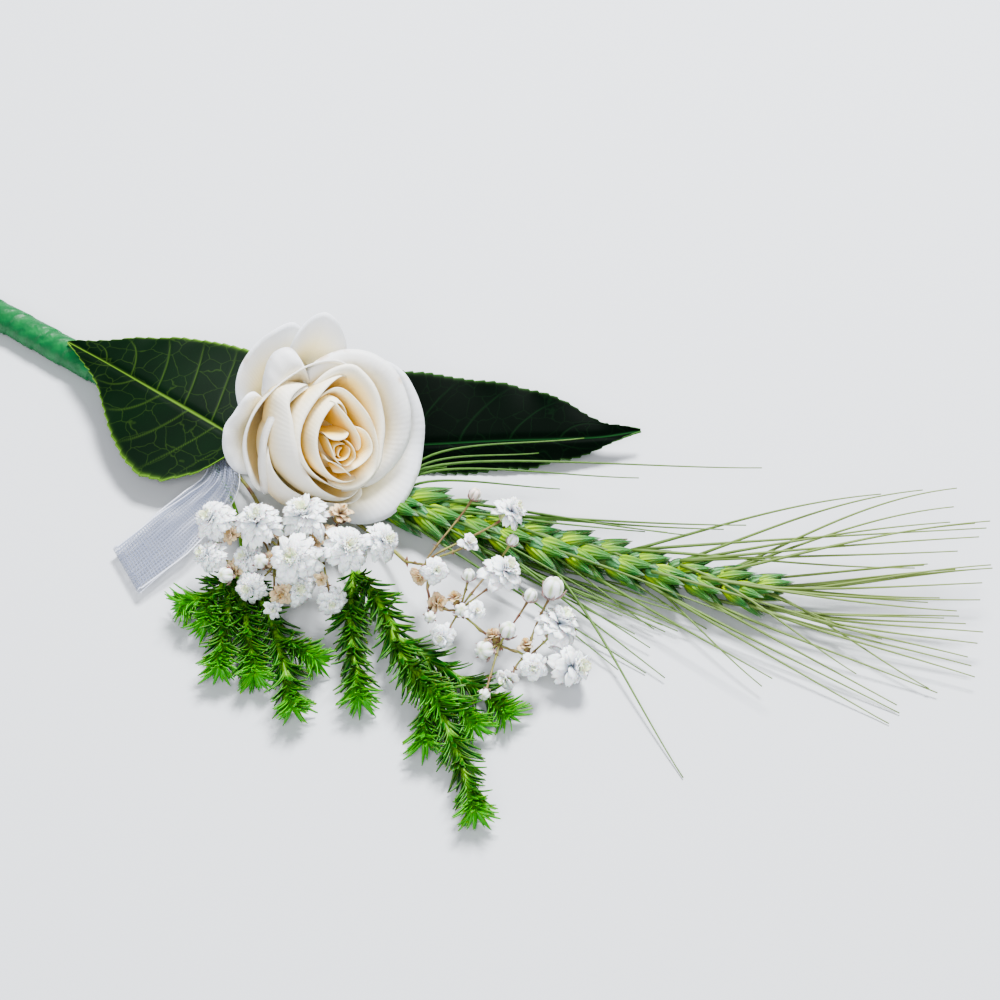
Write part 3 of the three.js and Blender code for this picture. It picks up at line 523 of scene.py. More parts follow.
# %% Rose: rims of the petals
# Each is (shoulder out, shoulder up, roll, rim). The shoulder is where the sheet heads before it
# reaches the rim, as shares of the rim's radius and height: over 1 out, it bulges and closes in.
PETALS = [
    (0.6, 0.5, 0.7, [
        (-17, 4, 11), (-17.9, 12, 14), (-15, 18.8, 16), (-10.7, 22.8, 16.4), (-6, 24.6, 15.5),
        (-1, 21, 12.5),
    ]),
    (0.6, 0.62, 0.5, [
        (-9, 14.5, 17), (-6.6, 22, 19.4), (-3.4, 25.4, 20), (-0.3, 26.4, 20.5), (1.9, 24.9, 20.5),
        (4, 21.6, 19.5), (6, 15, 17),
    ]),
    (0.7, 0.7, 1.4, [
        (-15.5, 10.4, 17), (-18.6, 5.5, 15.5), (-20.9, 2.2, 14), (-21.3, -1.1, 13), (-20.3, -4.4, 12),
        (-17.5, -7.5, 11.5), (-14, -9, 11.5),
    ]),
    (0.66, 0.9, 0.8, [
        (4, 17, 18), (10.9, 16.7, 20), (16.8, 13.9, 20.5), (20.3, 8.9, 20.5), (22.4, 2.6, 20),
        (22.4, -3.1, 19.6), (21.1, -8.6, 20.2), (18.1, -14, 21), (14, -17.8, 20.4), (8, -19.2, 18.6),
        (1.2, -17.8, 16),
    ]),
    (0.62, 1.12, 2.4, [
        (-13.5, 8.5, 18), (-13.8, 13.6, 20.6), (-11.9, 17.6, 22), (-8.6, 18.6, 22.6),
        (-5.6, 16.6, 22.4),
    ]),
    (0.62, 1.02, 0.9, [
        (-6, 14.5, 21), (-1, 17, 22), (3.7, 18.2, 22.5), (9.5, 17.4, 23), (14.4, 14.1, 23),
        (17.2, 9, 23), (18.6, 3.5, 22.5), (18.5, -0.8, 22), (16.9, -4.9, 21), (13.6, -9, 20),
        (9.5, -12.5, 19),
    ]),
    (1.1, 0.82, 1.8, [
        (-11, -13.5, 15), (-14.7, -11.3, 17), (-17.3, -5.8, 19), (-18, -0.9, 20.5), (-17, 3.5, 21.8),
        (-14.2, 8.2, 23), (-10, 12.5, 24), (-4.5, 15.8, 24.5), (1.5, 16.6, 24.5), (7, 14.4, 23.5),
    ]),
    (1.3, 0.86, 4.2, [
        (-4.5, 12.6, 24), (-8.6, 9.6, 24.8), (-12.4, 5, 24.3), (-14.6, -1.6, 22.8), (-14.6, -7.6, 21),
        (-13, -14, 18),
    ]),
    (1.8, 0.74, 0.5, [
        (-13.6, -1, 21), (-12, -6.6, 21), (-8.6, -11, 21.4), (-4, -13.6, 21.8), (1.1, -14.6, 22.2),
        (5.2, -14.2, 22.6), (8.6, -12.4, 22.8),
    ]),
    (2.15, 0.84, 0.25, [
        (-5, 12.2, 24), (-9.6, 7.6, 25.3), (-9.2, 3.1, 25.5), (-8.6, -1.2, 25.2), (-7.1, -6.1, 24.6),
        (-2.8, -10.9, 24.3), (2.5, -13, 24), (7.5, -11.8, 23),
    ]),
    (0.8, 0.98, 0.9, [
        (-5, 11.5, 23.5), (0, 14.6, 24.6), (4.2, 15.2, 25.1), (7.4, 12.8, 25.3), (9.6, 9.6, 25.3),
        (11, 5.6, 25.2), (11.6, 1.5, 25), (11.4, -2.5, 24.8), (10.8, -6.4, 24.4), (8, -10.6, 23.6),
        (3.5, -13.2, 23.2),
    ]),
    (1.7, 0.86, 0.9, [
        (4.4, 14, 24.6), (1.4, 12.6, 25.4), (-3.8, 7.6, 26.2), (-7.2, 2, 26.2), (-7.6, -2.4, 26),
        (-5.8, -6.6, 25.6), (-2.2, -9.6, 25.4), (2.4, -11.4, 25.2), (7.4, -10.4, 24.4),
    ]),
    (0.85, 0.96, 0.2, [
        (-3, 9.4, 24.6), (1.2, 10.6, 25.4), (5.4, 7.6, 25.8), (8.4, 3.3, 25.8), (9.6, -1, 25.6),
        (9.6, -5, 25.4), (8.6, -8.2, 25), (4.6, -10.9, 24.6), (-0.5, -10.8, 24.4),
    ]),
    (1.9, 0.9, 0.2, [
        (4, 5, 25.2), (0.6, 7.2, 26.2), (-2.2, 4.6, 26.6), (-3.8, 0.4, 26.5), (-3.5, -3.9, 26.3),
        (-1.6, -7.6, 26), (1.5, -9.6, 25.8), (6.2, -9.6, 25),
    ]),
    (0.8, 0.95, 0.1, [
        (-2, 7.4, 25.2), (-0.9, 8, 26.2), (1.4, 5.4, 26.5), (3.6, 2.6, 26.5), (5.4, 0, 26.2),
        (6.4, -3.2, 25.4),
    ]),
    (0.8, 0.95, 0.15, [
        (0.4, -8, 25), (4.3, -6.8, 26), (7, -5, 26.4), (8.3, -2.7, 26.5), (7.4, 0.4, 26.2),
        (5, 2.6, 25.4),
    ]),
    (1.5, 0.9, 0.1, [
        (-2.4, -3.6, 25.6), (-1.6, -5, 26.1), (0.2, -5.8, 26.4), (2.2, -7.2, 26.3), (4.2, -8.9, 25.6),
    ]),
    (2, 0.9, 0.1, [
        (-2.8, 1.2, 25.8), (-1.5, -0.3, 26.7), (0.3, -0.8, 27), (1.9, -0.4, 26.9), (3.4, 1.2, 26),
    ]),
    (1.2, 0.94, 0.05, [
        (-2, 0.4, 25.8), (-1.5, -1.2, 26.4), (-0.9, -3, 26.7), (0, -5, 26.8), (1.9, -6.4, 26.3),
    ]),
    (1.2, 0.94, 0.05, [
        (2, -0.2, 26), (3.6, -2.2, 26.7), (4.1, -4.4, 26.8), (3, -5.9, 26.6), (1.7, -6.6, 26),
    ]),
    (1.2, 0.95, 0, [
        (-0.2, -4.4, 25.9), (0.8, -5, 26.3), (2.4, -4.6, 26.4), (3.1, -3.2, 26.4), (2.8, -1.7, 26),
    ]),
    (1.2, 0.95, 0, [
        (2.6, -1.6, 25.8), (1.4, -1.5, 26.2), (-0.1, -2.1, 26.2), (-0.2, -3.5, 26), (0.6, -4.3, 25.6),
    ]),
    (1, 0.95, 0, [(1.9, -2.2, 25.6), (0.9, -2.9, 26), (0.7, -4.1, 25.9), (1.6, -4.5, 25.5)]),
]
PETAL_THICK = 0.15


# %% Rose: sheets
PETAL_COLUMNS = 40
PETAL_ROWS = 26
FOOT_RADIUS = 2.2
RAISED_FOOT = 7        # how much higher the smallest petals start
FULL_RADIUS = 14       # petals whose rims lie this far out have the full folds and waves
CREASE = 0.35          # how far a petal is dented in and out by its long soft folds
RIM_WAVE = 0.3         # how far its rim rises and falls


def petal_sheet(number, shoulder_out, shoulder_up, roll, rim):
    """The function that places a point of this petal's sheet, from across and up."""
    line = smooth_line(rim, PETAL_COLUMNS)
    lean = [Vector((EYE[0], EYE[1], 0)) * (point.z / EYE[2]) ** 1.6 for point in line]
    away = [point - shift for point, shift in zip(line, lean)]
    turns = np.unwrap([math.atan2(point.y, point.x) for point in away])
    middle = float(turns[PETAL_COLUMNS // 2])
    size = min(1, away[PETAL_COLUMNS // 2].xy.length / FULL_RADIUS)
    foot = RAISED_FOOT * (1 - size)

    def place(across, up):
        k = round((across + 1) / 2 * PETAL_COLUMNS)
        radius, height = away[k].xy.length, line[k].z
        near_rim = max(0, (up - 0.84) / 0.16)    # the last sixth of the sheet rolls over
        rolled = roll * (1 - 0.6 * abs(across) ** 3)
        shoulder = lerp(shoulder_out, min(shoulder_out, 1), abs(across) ** 1.5)
        tuck = abs(across) ** 10
        belly = 0.5 * max(1, shoulder) * radius
        out = (1 - 0.1 * tuck) * bezier(up, FOOT_RADIUS, belly, shoulder * radius, radius - rolled)
        rise = bezier(up, foot + 0.4, foot + 0.1 * height, shoulder_up * height, height)
        over = rolled * near_rim ** 1.5
        wave = math.sin(5 * across + 6 * draw(number, 1))
        wave += 0.35 * math.sin(17 * across + 6 * draw(number, 3))
        ripple = RIM_WAVE * size * near_rim * wave
        crease = CREASE * size * up * math.sin(3.3 * across + 2.6 * up + 6 * draw(number, 2))
        gather = 0.55 + 0.45 * min(1, up / 0.55)
        turn = middle + (float(turns[k]) - middle) * gather
        shift = Vector((EYE[0], EYE[1])) * (max(rise, 0) / EYE[2]) ** 1.6
        x = (out + over + crease) * math.cos(turn) + shift.x
        y = (out + over + crease) * math.sin(turn) + shift.y
        return on_rose(x, y, rise - 0.8 * roll * near_rim ** 3 + ripple - 2.5 * tuck * up)

    return place


petal_pieces = []
for number, petal in enumerate(PETALS):
    inner = number / (len(PETALS) - 1)
    petal_pieces.append(shaped_grid(
        f"petal_{number}", PETAL_COLUMNS, PETAL_ROWS, petal_sheet(number, *petal),
        {**GRID_MARKS, "inner": lambda across, along, inner=inner: inner}, PETAL_THICK,
    ))
print(len(petal_pieces), "petals")

# %% [markdown]
# The petals grow on a receptacle, a small cup that closes the bloom from below. It is a grid
# rolled up round the rose's axis. The same helper rolls the hip under it.

# %% Rose: receptacle
HEART_COLUMNS = 32
HEART_ROWS = 24
HEART = [(0.05, 0), (2.4, 0.1), (8.6, 1.1), (9.8, 3), (8.2, 8), (5.4, 14), (3.4, 19), (0.05, 21)]


def rolled(name, outline, columns, rows, lean=0):
    """A turned form: outline is a list of (radius, height) from its foot to its top."""
    line = smooth_line([(radius, 0, height) for radius, height in outline], rows)

    def place(across, along):
        point = line[round(along * rows)]
        turn = math.pi * across
        shift = lean * max(point.z, 0) / EYE[2]
        return on_rose(
            point.x * math.cos(turn) + EYE[0] * shift, point.x * math.sin(turn) + EYE[1] * shift, point.z,
        )

    piece = shaped_grid(name, columns, rows, place)
    close_seam(piece, 0.02)
    return piece


heart = rolled("heart", HEART, HEART_COLUMNS, HEART_ROWS, lean=1)
bloom = join_pieces("rose_bloom", [heart, *petal_pieces])
round_off(bloom)

# %% [markdown]
# A petal is living tissue: thin, a little translucent, with a velvety surface of tiny cells. Its
# colour is what makes this rose: almost white and cool on the outer petals, ivory at the inner
# rims, creamy lower down, and golden in the depth of the middle. Some rims are browned a little.
# The mix follows the attributes kept on the mesh: along, from foot to rim, and inner, from the
# outermost petal to the eye.

# %% Rose: petal material
VEIN_MM = 0.7
PETAL_HALF_MM = 14     # half the width of a usual petal, to space its veins

petal_look = new_material(
    "Rose petal, living, velvety", Roughness=0.6, IOR=1.4, Sheen_Weight=0.15, Subsurface_Weight=0.3,
    Subsurface_Scale=0.0012, Subsurface_Radius=(1, 0.96, 0.78),
)
along_mark, inner_mark, across_mark = (
    add_node(petal_look, "Attribute", out="Fac", attribute_name=key)
    for key in ("along", "inner", "across"))
object_place = add_node(petal_look, "TexCoord", out="Object")
# The cells' unevenness is 2.4 mm across, the cloudy colour 9 mm and the browned marks 6 mm
cells, cloud, marks_noise = (
    add_node(petal_look, "TexNoise", {"Vector": object_place, "Scale": scale, "Detail": detail})
    for scale, detail in ((420, 4), (110, 2), (170, 3)))
wander = add_node(petal_look, "Math", {0: cloud, 1: 0.12, 2: along_mark}, operation="MULTIPLY_ADD")
eye_share = add_node(petal_look, "MapRange", {0: inner_mark, 1: 0.6, 2: 0.95, 3: 0, 4: 0.14})
sunk = add_node(petal_look, "Math", {0: wander, 1: eye_share}, operation="SUBTRACT")
low = add_node(petal_look, "MapRange", {0: sunk, 1: 1.03, 2: 0.7}, interpolation_type="SMOOTHSTEP")
rim_colour, deep_colour = (
    paint(petal_look, outer, (inner_mark, inner, 0.12, 0.62, 1))
    for outer, inner in (("#e8ecf4", "#fff8dc"), ("#f1e9c4", "#ffcf3c")))
bruised = add_node(petal_look, "MapRange", {0: marks_noise, 1: 0.6, 2: 0.7})
near_rim = add_node(petal_look, "MapRange", {0: along_mark, 1: 0.955, 2: 1, 3: 0, 4: 0.7})
bruise = add_node(petal_look, "Math", {0: bruised, 1: near_rim}, operation="MULTIPLY")
petal_paint = paint(petal_look, rim_colour, (low, deep_colour), (bruise, "#c2975a"))
veins = add_node(petal_look, "Math", {
    0: across_mark, 1: 2 * math.pi * PETAL_HALF_MM / VEIN_MM,
}, operation="MULTIPLY")
vein_wave = add_node(petal_look, "Math", {0: veins}, operation="SINE")
petal_height = add_node(petal_look, "Math", {0: vein_wave, 1: 0.22, 2: cells}, operation="MULTIPLY_ADD")
dress(petal_look, petal_paint, petal_height, 0.35, 0.00014)
hand_in(bloom, "rose_petals", "rose_petal", petal_look)

# %% [markdown]
# Under the bloom sit the hip and five pointed sepals, on a stem that runs down inside the tape.
# Mostly hidden, they show from behind and from the side.

# %% Rose: stem, hip and sepals
ROSE_STEM = 1.2
HIP = [(0.05, -6.2), (1.4, -5.2), (3, -3.8), (3.4, -2.2), (2.9, -1.1), (0.05, -0.7)]
SEPALS = (18, 90, 162, 234, 306)
SEPAL_LINE = [(2.2, -1.9), (4.6, -1.7), (7.6, -0.5), (10.6, 1.4)]   # distance from the axis, height
SEPAL_HALF = (0.5, 1.6, 1.3, 0.9, 0.15)
SEPAL_ROWS = 14
SEPAL_THICK = 0.4

stem_route = smooth_line(
    [STEM_END, *TAPE_LINE, (-58.5, 15.2, 5.7), (-50.5, 13.8, 6.4), on_rose(0, 0, -3)], 90)
rose_pieces = [tubes("rose_stem_tube", [(stem_route, ROSE_STEM)], 3), rolled("hip", HIP, 24, 16)]
sepal_line = smooth_line([(r, 0, h) for r, h in SEPAL_LINE], SEPAL_ROWS)
for angle in SEPALS:
    def sepal_place(across, along, angle=math.radians(angle)):
        point = sepal_line[round(along * SEPAL_ROWS)]
        half = value_at(SEPAL_HALF, along) * across
        x = point.x * math.cos(angle) - half * math.sin(angle)
        y = point.x * math.sin(angle) + half * math.cos(angle)
        return on_rose(x, y, point.z + 0.35 * across * across)

    rose_pieces.append(shaped_grid("sepal", 6, SEPAL_ROWS, sepal_place, thick=SEPAL_THICK))
rose_stalk = join_pieces("rose_stalk", rose_pieces)
round_off(rose_stalk)

# %% [markdown]
# Green stems of cut flowers are smooth, with a thin waxy skin and faint pale flecks.

# %% Green stem material
def speckled(name, roughness, scale, detail, dark, light, bare=0, full=1, relief=0):
    """A plain grown skin: one noise mixes its two colours, and gives it relief in metres. Its
    spots are one metre over scale: 2.4 mm on the green stems, 4 mm on the greenery's and 5 mm on
    the gypsophila's."""
    look = new_material(name, Roughness=roughness, IOR=1.42)
    flecks = add_node(look, "TexNoise", {
        "Vector": add_node(look, "TexCoord", out="Object"), "Scale": scale, "Detail": detail,
    })
    colour = paint(look, dark, (flecks, light, bare, full, 1))
    return dress(look, colour, flecks if relief else None, 0.3, relief)


stem_look = speckled("Green stem, grown, waxy skin", 0.45, 420, 4, "#4d7a2f", "#93ad4e", relief=0.0002)
hand_in(rose_stalk, "rose_stem", "green_stem", stem_look)

# %% [markdown]
# Two stiff, smooth evergreen leaves. Each is a grid laid along its midrib: the list of half
# widths gives its outline, and a saw-toothed margin points to the tip. One half of the blade
# rises from the midrib while the other droops, the margin waves a little, and the veins are sunk.

# %% Leaves: shape
RING = 2               # the stems in the tape lie round the rose stem at this radius
AT = {                 # and each at its own angle, in degrees
    "ribbon": 72, "spriga": 14, "gypa": 339, "sprigb": 304, "gypb": 269, "wheat": 232, "leafr": 192,
    "leafl": 130,
}
LEAF_LEFT = {
    "midrib": [
        (-55.1, 8, 9.4), (-68.6, 17.4, 10.4), (-78, 24.3, 10.6), (-87.7, 32.3, 9.8), (-98.2, 41.4, 8),
    ],
    "upper": (0.3, 12, 19.9, 21.3, 19.6, 17.5, 14.6, 10.9, 6.9, 2.8, 0.25),
    "lower": (0.3, 11, 17, 18.6, 16.9, 13.8, 9.9, 6, 3.5, 1.8, 0.25),
    "upper_lift": 0.17, "lower_lift": -0.24, "curl": 0.006, "floor": 0.3, "crinkle": 0.15,
}
LEAF_RIGHT = {
    "midrib": [
        (-46.5, 13.5, 2.4), (-30, 13, 3.2), (-16, 13.2, 4), (0, 13.8, 4.6), (13.3, 13.8, 5.2),
        (22.2, 14.2, 5.4), (31.3, 15.9, 5.6),
    ],
    "upper": (0.3, 9, 15, 18.2, 17.4, 15.6, 13.6, 11.6, 7.9, 2.6, 0.25),
    "lower": (0.3, 3, 4.2, 4.8, 5.4, 5.8, 5.7, 5.2, 3.8, 1.7, 0.25),
    "upper_lift": 0.32, "lower_lift": -0.62, "curl": 0.004, "floor": 0.12, "crinkle": 0.4,
}
LEAF_ROWS = 220
LEAF_COLUMNS = 72
LEAF_THICK = 0.42
TOOTH = 0.45           # how far a tooth of the margin stands out
TOOTH_SPACING = 2.3
SIDE_VEINS = 7
PETIOLE = 0.5


def inside_tape(angle, start):
    """A route at this angle round the rose stem, from this step of the tape up to its mouth."""
    return [
        point + RING * turned(math.radians(angle), side, up)
        for point, _, up, side in tape_frames[start:]
    ]


def stem_line(angle, start, points, spacing=1.2):
    """A stem from inside the tape, out through its mouth and on through the points."""
    inside = inside_tape(angle, start)
    mouth = inside.pop()
    route = [mouth, mouth + 1.5 * tape_frames[-1][1], *(Vector(p) for p in points)]
    reach = sum((b - a).length for a, b in zip(route, route[1:]))
    return inside + smooth_line(route, round(reach / spacing))


def side_vein(across, along):
    """How near a point lies to a side vein, from 0 to 1: they leave at an angle and arch."""
    place = along - 0.16 * abs(across) ** 1.25 - (0.03 if across > 0 else 0)
    distance = abs((place * SIDE_VEINS + 0.35) % 1 - 0.5) / SIDE_VEINS
    fade = max(0, 1 - abs(across) ** 4) * min(1, 8 * (1 - along))
    return fade * math.exp(-(distance / 0.003) ** 2)


def make_leaf(name, leaf, petiole):
    line = smooth_line(leaf["midrib"], LEAF_ROWS)
    leaf_frames = frames_along(line)
    length = sum((b - a).length for a, b in zip(line, line[1:]))

    def place(across, along):
        point, forward, _, _ = leaf_frames[round(along * LEAF_ROWS)]
        side = Vector((-forward.y, forward.x, 0)).normalized()
        if forward.x < 0:
            side.negate()
        part = abs(across)
        half = value_at(leaf["upper" if across > 0 else "lower"], along)
        saw = ((along * length / TOOTH_SPACING) % 1) * TOOTH * part ** 10 * min(1, half / 3)
        width = half * part + saw
        slope = leaf["upper_lift"] * width - leaf["curl"] * width ** 2
        lift = slope if across > 0 else leaf["lower_lift"] * width
        lift -= 0.45 * math.exp(-(half * part / 0.8) ** 2)
        lift -= 0.06 * side_vein(across, along)
        lift += leaf["crinkle"] * part ** 3 * math.sin(26 * along + 2 * math.sin(9 * along))
        spot = point + math.copysign(width, across) * side + Vector((0, 0, lift))
        spot.z = max(spot.z, leaf["floor"])
        return spot

    blade = shaped_grid(name, LEAF_COLUMNS, LEAF_ROWS, place, {
        "vein": side_vein,
        "rib": lambda across, along: math.exp(-(value_at(leaf["upper"], along) * across / 0.22) ** 2),
        "margin": lambda across, along: abs(across) ** 60,
    }, LEAF_THICK)
    stalk = tubes(name + "_petiole", [(petiole, PETIOLE)], 2)
    whole = join_pieces(name, [blade, stalk])
    round_off(whole)
    return whole


left_leaf = make_leaf("left_leaf", LEAF_LEFT, stem_line(AT["leafl"], 6, [
    (-62.8, 17.4, 7.4), (-57.5, 14, 8), (-53.2, 9.6, 8), (-52.4, 6.6, 8.3), (-54.8, 6.8, 9.2),
    (-58.5, 10.3, 9.8),
]))
right_leaf = make_leaf("right_leaf", LEAF_RIGHT, stem_line(AT["leafr"], 4, [
    (-59.9, 19.7, 3.9), (-54, 17.6, 3.2), (-46.5, 13.5, 2.4), (-43, 13.3, 2.6),
]))


# %% [markdown]
# An evergreen leaf has a waxy cuticle over dark tissue, so it is smooth and nearly black-green,
# with the veins drawn lighter: the midrib palest, side veins next, then a fine net. The toothed
# margin is a thin yellow-green line. The net's cells are about 5 mm across on the real leaf.

# %% Leaf materials
NET_MM = 5
NET_CROOKED = 0.0022     # metres that the net is pushed about


def leaf_material(name, shine, dark, light, vein_colour, vein_share, margin_colour):
    look = new_material(name, Roughness=0.5, IOR=1.4, Specular_IOR_Level=shine)
    vein, rib, margin = (
        add_node(look, "Attribute", out="Fac", attribute_name=key)
        for key in ("vein", "rib", "margin"))
    spot = add_node(look, "TexCoord", out="Object")
    # Clouds of colour 11 mm across, a grain of 0.5 mm, and a net pushed crooked every 4 mm
    cloudy, grain, crooked = (
        add_node(look, "TexNoise", {"Vector": spot, "Scale": scale, "Detail": detail})
        for scale, detail in ((90, 5), (1900, 2), (260, 2)))
    pushed = add_node(look, "VectorMath", {
        0: crooked.outputs["Color"], 1: (NET_CROOKED,) * 3, 2: spot,
    }, operation="MULTIPLY_ADD")
    net = add_node(look, "TexVoronoi", {
        "Vector": pushed, "Scale": 1 / (NET_MM * MM),
    }, feature="DISTANCE_TO_EDGE")
    net_line = add_node(look, "MapRange", {0: net, 1: 0, 2: 0.024, 3: 0.45, 4: 0})
    veined = add_node(look, "Math", {0: vein, 1: net_line}, operation="MAXIMUM")
    faded = add_node(look, "Math", {0: veined, 1: vein_share}, operation="MULTIPLY")
    ribbed = add_node(look, "Math", {0: faded, 1: rib}, operation="MAXIMUM")
    height = add_node(look, "Math", {0: grain, 1: 0.3, 2: net_line}, operation="MULTIPLY_ADD")
    colour = paint(
        look, dark,
        (cloudy, light), (ribbed, vein_colour), (margin, margin_colour),
    )
    return dress(look, colour, height, 0.12, 0.00015, invert=True)


hand_in(left_leaf, "leaf_left", "leaf", leaf_material(
    "Evergreen leaf, waxy cuticle", 0.1, "#020f06", "#051f0a", "#5a7a2c", 0.3, "#6f9a3c"))
hand_in(right_leaf, "leaf_right", "leaf", leaf_material(
    "Evergreen leaf, darker, waxy cuticle", 0.03, "#010703", "#030f07", "#1b4020", 0.26, "#3f6034"))

# %% [markdown]
# The ribbon is organza: a sheer plain weave of fine, stiff nylon threads, 13.6 mm wide. One strip
# leaves the tape, is folded flat at the far end and comes back, so it lies in two layers. Near the
# tape it is gathered, so its width closes up into pleats.

# %% Ribbon: folded strip
STRIP_WIDTH_MM = 13.6
RIBBON = [              # points along it, each with the strip's width there
    (-64.6, 15.8, 7.4, 1.2), (-61.6, 9.5, 6.2, 5), (-60.9, 0.2, 5.2, 10.5), (-69.8, -12.1, 3.8, 13.4),
    (-79.5, -22, 2.6, STRIP_WIDTH_MM),
]
WIDTH_IN_TAPE = 1.1
RIBBON_GAP = 1.7        # between its two layers
FOLD_SKEW = 18          # degrees that the fold is off square
UNEVEN = 1.5            # how far the lower layer peeps out beside the upper one, half way
LAYER_ROWS = 84
TAPED_ROWS = 12
FOLD_ROWS = 10
RIBBON_COLUMNS = 48


def ribbon_rows():
    """Rows of the strip, from one end in the tape to the other: middle, side and width."""
    line = smooth_line([p[:3] for p in RIBBON], LAYER_ROWS - TAPED_ROWS)
    mouth = inside_tape(AT["ribbon"], 14)
    frames = frames_along(smooth_line(mouth, TAPED_ROWS)[:-1] + line)
    start = len(frames) - len(line)
    widths = [p[3] for p in RIBBON]
    layers = []
    for i, (point, along, _, _) in enumerate(frames):
        free = max(0, (i - start) / (len(line) - 1))
        skew = Matrix.Rotation(-math.radians(FOLD_SKEW) * free ** 2, 3, "Z")
        side = skew @ Vector((-along.y, along.x, 0)).normalized()
        width = value_at(widths, free) if i >= start else WIDTH_IN_TAPE
        gap = RIBBON_GAP * min(1, max(0.38, (7 * free - 1) / 4)) / 2
        layers.append((point, along, side, width, gap, free))
    rows = [
        (p - Vector((0, 0, gap)) - UNEVEN * math.sin(math.pi * free) * side, side, width, free)
        for p, _, side, width, gap, free in layers
    ]
    end, along, side, width, gap, _ = layers[-1]
    for k in range(1, FOLD_ROWS):
        turn = math.pi * (k / FOLD_ROWS - 0.5)
        bulge = 1.2 * gap * math.cos(turn) * along + Vector((0, 0, gap * math.sin(turn)))
        rows.append((end + bulge, side, width, 1))
    for p, _, side, width, gap, free in reversed(layers):
        rows.append((p + Vector((0, 0, gap)) + 0.4 * side, side, width, free))
    return rows


strip = ribbon_rows()
strip_last = len(strip) - 1


def ribbon_place(across, along):
    middle, side, width, free = strip[round(along * strip_last)]
    gather = max(0, 1 - width / STRIP_WIDTH_MM)
    pleat = 0.75 * gather * math.sin(9 * across + (2 if along > 0.5 else 0))
    billow = 0.25 * free * math.sin(math.pi * free) * math.cos(2.2 * across)
    spot = middle + across * width / 2 * side
    spot.z = max(spot.z + pleat + billow, 0.25)
    return spot


ribbon = shaped_grid("ribbon", RIBBON_COLUMNS, strip_last, ribbon_place)
round_off(ribbon)
strip_length = sum((b[0] - a[0]).length for a, b in zip(strip, strip[1:]))
print("ribbon strip", round(strip_length, 1), "mm long")

# %% [markdown]
# Organza: nylon threads woven open, with a firmer selvedge along both edges. Each thread is a
# bright line and each hole lets the ground show. The real threads lie about 0.3 mm apart, too
# fine to show at 0.22 mm for each pixel, so they are drawn 0.8 mm apart. The pattern follows the
# strip's own UV map.

# %% Ribbon material
THREAD_MM = 0.8

organza = new_material("Organza, woven nylon, sheer", Roughness=0.35, IOR=1.53, Sheen_Weight=0.3)
strip_place = add_node(organza, "UVMap", uv_map="UVMap")
axes = add_node(organza, "SeparateXYZ", {0: strip_place})
# The threads stray a little, over 1 mm across the strip and 9 mm along it
crooked = add_node(organza, "TexNoise", {"Vector": strip_place, "Scale": 14, "Detail": 1})
threads = []
for axis, reach in (("X", STRIP_WIDTH_MM), ("Y", strip_length)):
    turn = add_node(organza, "Math", {
        0: axes.outputs[axis], 1: 2 * math.pi * reach / THREAD_MM,
    }, operation="MULTIPLY")
    shifted = add_node(organza, "Math", {0: crooked, 1: 6, 2: turn}, operation="MULTIPLY_ADD")
    threads.append(add_node(organza, "Math", {0: shifted}, operation="SINE"))
crossing = add_node(organza, "Math", {0: threads[0], 1: threads[1]}, operation="MAXIMUM")
off_middle = add_node(organza, "Math", {0: axes.outputs["X"], 1: 0.5}, operation="SUBTRACT")
to_edge = add_node(organza, "Math", {0: off_middle}, operation="ABSOLUTE")
selvedge = add_node(organza, "MapRange", {0: to_edge, 1: 0.465, 2: 0.48})
cover = add_node(organza, "MapRange", {0: crossing, 1: 0.4, 2: 0.85, 3: 0.06, 4: 0.92})
opaque = add_node(organza, "Math", {0: cover, 1: selvedge}, operation="MAXIMUM")
set_inputs(organza, organza.node_tree.nodes["Principled BSDF"], {"Alpha": opaque})
organza_paint = paint(organza, "#4f566e", (cover, "#7d859d"), (selvedge, "#c3c8d6"))
dress(organza, organza_paint, crossing, 0.35, 0.0001)
hand_in(ribbon, "ribbon_loop", "organza", organza)

# %% [markdown]
# A green ear of bearded wheat. Florets sit in fans on alternate sides of the rachis, each made of
# boat-shaped husks around the young grain, and many carry an awn, a long stiff bristle that
# leaves along its floret and then sweeps out. A husk is modelled once, as a grid bent into a boat
# with a keel, and copied.

# %% Wheat: husk
EAR = [
    (-26.2, -3.6, 4.4), (-20.7, -5.8, 4.8), (0, -14.1, 5), (21.4, -21.4, 5.2), (42.5, -27.7, 5.4),
    (56.1, -31.1, 5.4),
]
STALK = [(-60.7, 18.5, 2.9), (-55.4, 15.4, 2.5), (-43.5, 7.5, 2.2), (-33, 1, 2.6)]
SPIKELETS = 16                           # of three florets each, which the awns continue
FLORET_LENGTH = 10.8
FLORET_TILT = 19                         # degrees that a floret stands off the rachis
FANS = 20                                # fans of fine husks along the ear
HUSK_LENGTH = (12.2, 9.8)                # at the ear's foot and at its tip
HUSK_WIDE = (2.05, 1.65)
HUSK_THICK = (1.5, 1.15)
FAN = (-70, -44, -18, 8, 34, 60)         # how the husks of a spikelet are turned round the rachis
FAN_TILT = (15, 33)                      # how far they stand off: on top, and at the side
HUSK_HALF = (0.35, 0.82, 1, 0.98, 0.82, 0.56, 0.3, 0.04)
INNER_HUSK = 0.3                         # marks for the material
OUTERMOST_HUSK = 1


def husk_place(across, along):
    """A husk of length 1, half width 1 and depth 1, with its back towards +Z."""
    half = value_at(HUSK_HALF, along)
    turn = across * math.radians(112)
    keel = 0.14 * max(0, 1 - 2 * abs(across))
    arch = 0.5 * along * (1 - along)
    return Vector((half * math.sin(turn), along, half * (math.cos(turn) + keel) + arch))


husk = as_model(shaped_grid("husk", 4, 6, husk_place, GRID_MARKS, thick=0.09, offset=-1))
print("husk", len(husk["faces"]), "faces")


